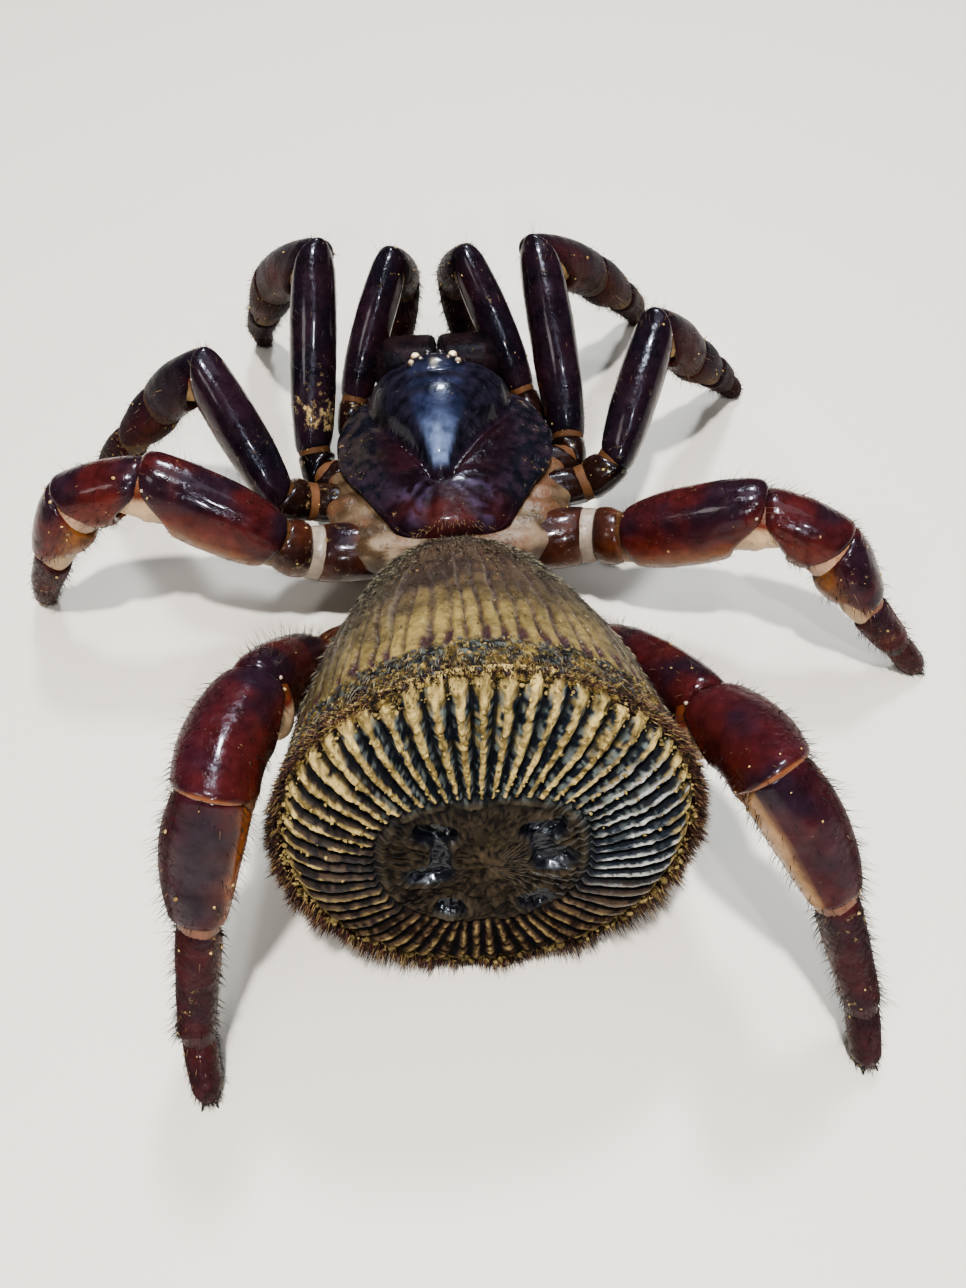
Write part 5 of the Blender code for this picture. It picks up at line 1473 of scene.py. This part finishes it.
def make_soil(sac):
    heap = Heap()
    rng = np.random.default_rng(51)
    # the ledge over the upper ribs
    N = 620
    th = (rng.random(N) - 0.5) * 2 * 1.55
    radial = np.sin(th)[:, None] * DISK_X + np.cos(th)[:, None] * DISK_U
    c = DISK_CENTRE + radial * (7.50 + 0.42 * rng.random(N))[:, None] + DISK_N * (-0.05 + 0.38 * rng.random(N))[:, None]
    dark = rng.random((N, 1)) < 0.25
    tone = np.where(dark, col(0.05, 0.045, 0.045), lerp(col(0.09, 0.063, 0.022), col(0.27, 0.198, 0.076), rng.random((N, 1))))
    crumbs(heap, c, 0.04 + 0.10 * rng.random(N) ** 1.6, tone, 1)
    # all round inside the rim
    N = 1300
    th = rng.random(N) * 2 * np.pi
    radial = np.sin(th)[:, None] * DISK_X + np.cos(th)[:, None] * DISK_U
    c = DISK_CENTRE + radial * (7.05 + 0.60 * rng.random(N))[:, None] + DISK_N * (0.26 + 0.46 * rng.random(N))[:, None]
    c[:, 2] = np.maximum(c[:, 2], 0.08)
    low = smooth(-np.cos(th), 0.1, 0.7)[:, None]
    tone = lerp(col(0.045, 0.032, 0.013), col(0.26, 0.192, 0.080), rng.random((N, 1)) * (1 - 0.20 * low))
    crumbs(heap, c, 0.03 + (0.075 + 0.06 * low[:, 0]) * rng.random(N) ** 1.7, tone, 2)
    # along the upper ribs
    N = 520
    k = rng.integers(0, RIBS, N)
    th = 2 * np.pi * (k + 0.08 * rng.normal(size=N)) / RIBS
    s = rng.random(N) ** 1.3 * 0.9
    keep = np.cos(th) > -0.05 + 0.6 * rng.random(N) - 0.1
    th, s = th[keep], s[keep]
    N = len(th)
    sn, cs = np.sin(th), np.cos(th)
    n = np.where(cs > 0, 2.9, 2.15)
    R = (np.abs(sn / PLATE_HALF[0]) ** n + np.abs(cs / PLATE_HALF[1]) ** n) ** (-1.0 / n)
    edge = DISK_RADIUS + 0.38 * smooth(cs, -0.2, 0.8) + 0.12
    X = lerp(edge * sn, PLATE_CENTRE[0] + R * sn, s)
    Y = lerp(edge * cs, PLATE_CENTRE[1] + R * cs, s)
    H = table(RIB_RISE, s) + 0.17
    c = DISK_CENTRE + DISK_N * 0.10 + DISK_X * X[:, None] + DISK_U * Y[:, None] + DISK_N * H[:, None]
    tone = lerp(col(0.12, 0.085, 0.030), col(0.33, 0.243, 0.095), rng.random((N, 1)))
    crumbs(heap, c, 0.035 + 0.05 * rng.random(N), tone, 3)
    # on the sac's rear band, and a few golden specks farther forward
    P, nrm, T, A = sac
    N = 760
    u = np.where(rng.random(N) < 0.93, 1 - 0.13 * rng.random(N) ** 0.8, 0.35 + 0.5 * rng.random(N))
    ph = np.pi / 2 + (rng.random(N) - 0.5) * 3.4
    ti = np.interp(u, T[:, 0], np.arange(T.shape[0]))
    i0 = np.clip(ti.astype(int), 0, T.shape[0] - 2)
    j0 = (ph / (2 * np.pi) * T.shape[1]).astype(int) % T.shape[1]
    dark = rng.random((N, 1)) < 0.3
    tone = np.where(dark, col(0.05, 0.045, 0.045), lerp(col(0.055, 0.040, 0.016), col(0.21, 0.155, 0.064), rng.random((N, 1))))
    crumbs(heap, P[i0, j0], 0.03 + 0.07 * rng.random(N) ** 1.5, tone, 4)
    # specks on the body and legs
    cs_, ts = [], []
    for (side, leg, name), (grid, nn, t, ang, fr, length) in GRIDS.items():
        k = {"tibia": 16, "metatarsus": 16, "tarsus": 7, "patella": 10, "trochanter": 7, "femur": 7, "coxa": 3}[name]
        i = rng.integers(2, grid.shape[0] - 2, k)
        j = rng.integers(0, grid.shape[1], k)
        cs_.append(grid[i, j]); ts.append(lerp(col(0.20, 0.135, 0.055), col(0.42, 0.30, 0.13), rng.random((k, 1))))
    c, tone = np.concatenate(cs_), np.concatenate(ts)
    crumbs(heap, c, 0.03 + 0.06 * rng.random(len(c)) ** 1.5, tone, 5)
    finish(heap.make("dried_soil"), "crumb")


# ------------------------------------------------------------------ stage
CAMERA = (0.9905, 38.6873, 41.0)
PITCH = math.radians(52.093)
ROLL = math.radians(-0.929)
YAW = math.radians(176.0)
FOCAL_PX = 993.07


def make_camera():
    data = bpy.data.cameras.new("camera")
    data.sensor_fit = "VERTICAL"
    data.sensor_height = 32.0
    data.lens = 32.0 * FOCAL_PX / 1288.0
    data.clip_start = 0.001
    data.clip_end = 5.0
    cam = bpy.data.objects.new("camera", data)
    bpy.context.scene.collection.objects.link(cam)
    # columns of the camera's axes in the working frame
    right = Vector((math.cos(YAW), math.sin(YAW), 0))
    forward = Vector((-math.sin(YAW) * math.cos(PITCH), math.cos(YAW) * math.cos(PITCH), -math.sin(PITCH)))
    up = right.cross(forward)
    rot = Matrix((right, up, -forward)).transposed()
    rot = rot @ Matrix.Rotation(ROLL, 3, "Z")
    cam.matrix_world = Matrix.Translation(Vector((np.array(CAMERA) + SHIFT) * MM)) @ rot.to_4x4()
    bpy.context.scene.camera = cam


def area(name, place, target, size, power, colour=(1, 1, 1)):
    data = bpy.data.lights.new(name, "AREA")
    data.shape = "SQUARE"
    data.size = size * MM
    data.energy = power
    data.color = colour
    obj = bpy.data.objects.new(name, data)
    bpy.context.scene.collection.objects.link(obj)
    p = Vector((np.array(place, float) + SHIFT) * MM)
    q = Vector((np.array(target, float) + SHIFT) * MM)
    obj.location = p
    obj.rotation_euler = (q - p).to_track_quat("-Z", "Y").to_euler()
    return obj


def make_stage():
    me = bpy.data.meshes.new("floor")
    s = 1.2
    me.from_pydata([(-s, -s, 0), (s, -s, 0), (s, s, 0), (-s, s, 0)], [], [(0, 1, 2, 3)])
    floor = bpy.data.objects.new("floor", me)
    bpy.context.scene.collection.objects.link(floor)
    mat = bpy.data.materials.new("floor")
    mat.use_nodes = True
    b = mat.node_tree.nodes["Principled BSDF"]
    b.inputs["Base Color"].default_value = (0.50, 0.465, 0.41, 1)
    b.inputs["Roughness"].default_value = 0.55
    me.materials.append(mat)
    area("key", (15.0, 80.0, 340.0), (0, 4, 4), 19.0, 2.25, (1.0, 0.98, 0.96))
    area("soft", (-110.0, -80.0, 540.0), (0, 5, 0), 340.0, 0.92, (0.84, 0.91, 1.0))
    area("side", (300.0, 290.0, 360.0), (0, 5, 0), 130.0, 0.55, (1.0, 0.95, 0.88))
    area("glint", (-90.0, 330.0, 350.0), (0, 8, 4), 18.0, 0.85, (0.93, 0.96, 1.0))
    area("crest", (-45.0, -215.0, 330.0), (0, 8, 4), 46.0, 1.55, (0.88, 0.94, 1.0))
    area("low", (25.0, 424.0, 225.0), (0, 8, 4), 20.0, 0.80, (0.95, 0.97, 1.0))
    world = bpy.data.worlds.new("world")
    world.use_nodes = True
    world.node_tree.nodes["Background"].inputs[0].default_value = (0.82, 0.85, 0.9, 1)
    world.node_tree.nodes["Background"].inputs[1].default_value = 0.085
    bpy.context.scene.world = world
    bpy.context.scene.view_settings.look = "AgX - Medium High Contrast"


make_camera()
make_stage()
make_limbs()
SAC = make_skin()
make_disk()
make_carapace()
make_eyes()
make_jaws()
make_underside()
make_claws()
limb_coat()
sac_coat(SAC)
rim_coat()
head_coat()
make_soil(SAC)
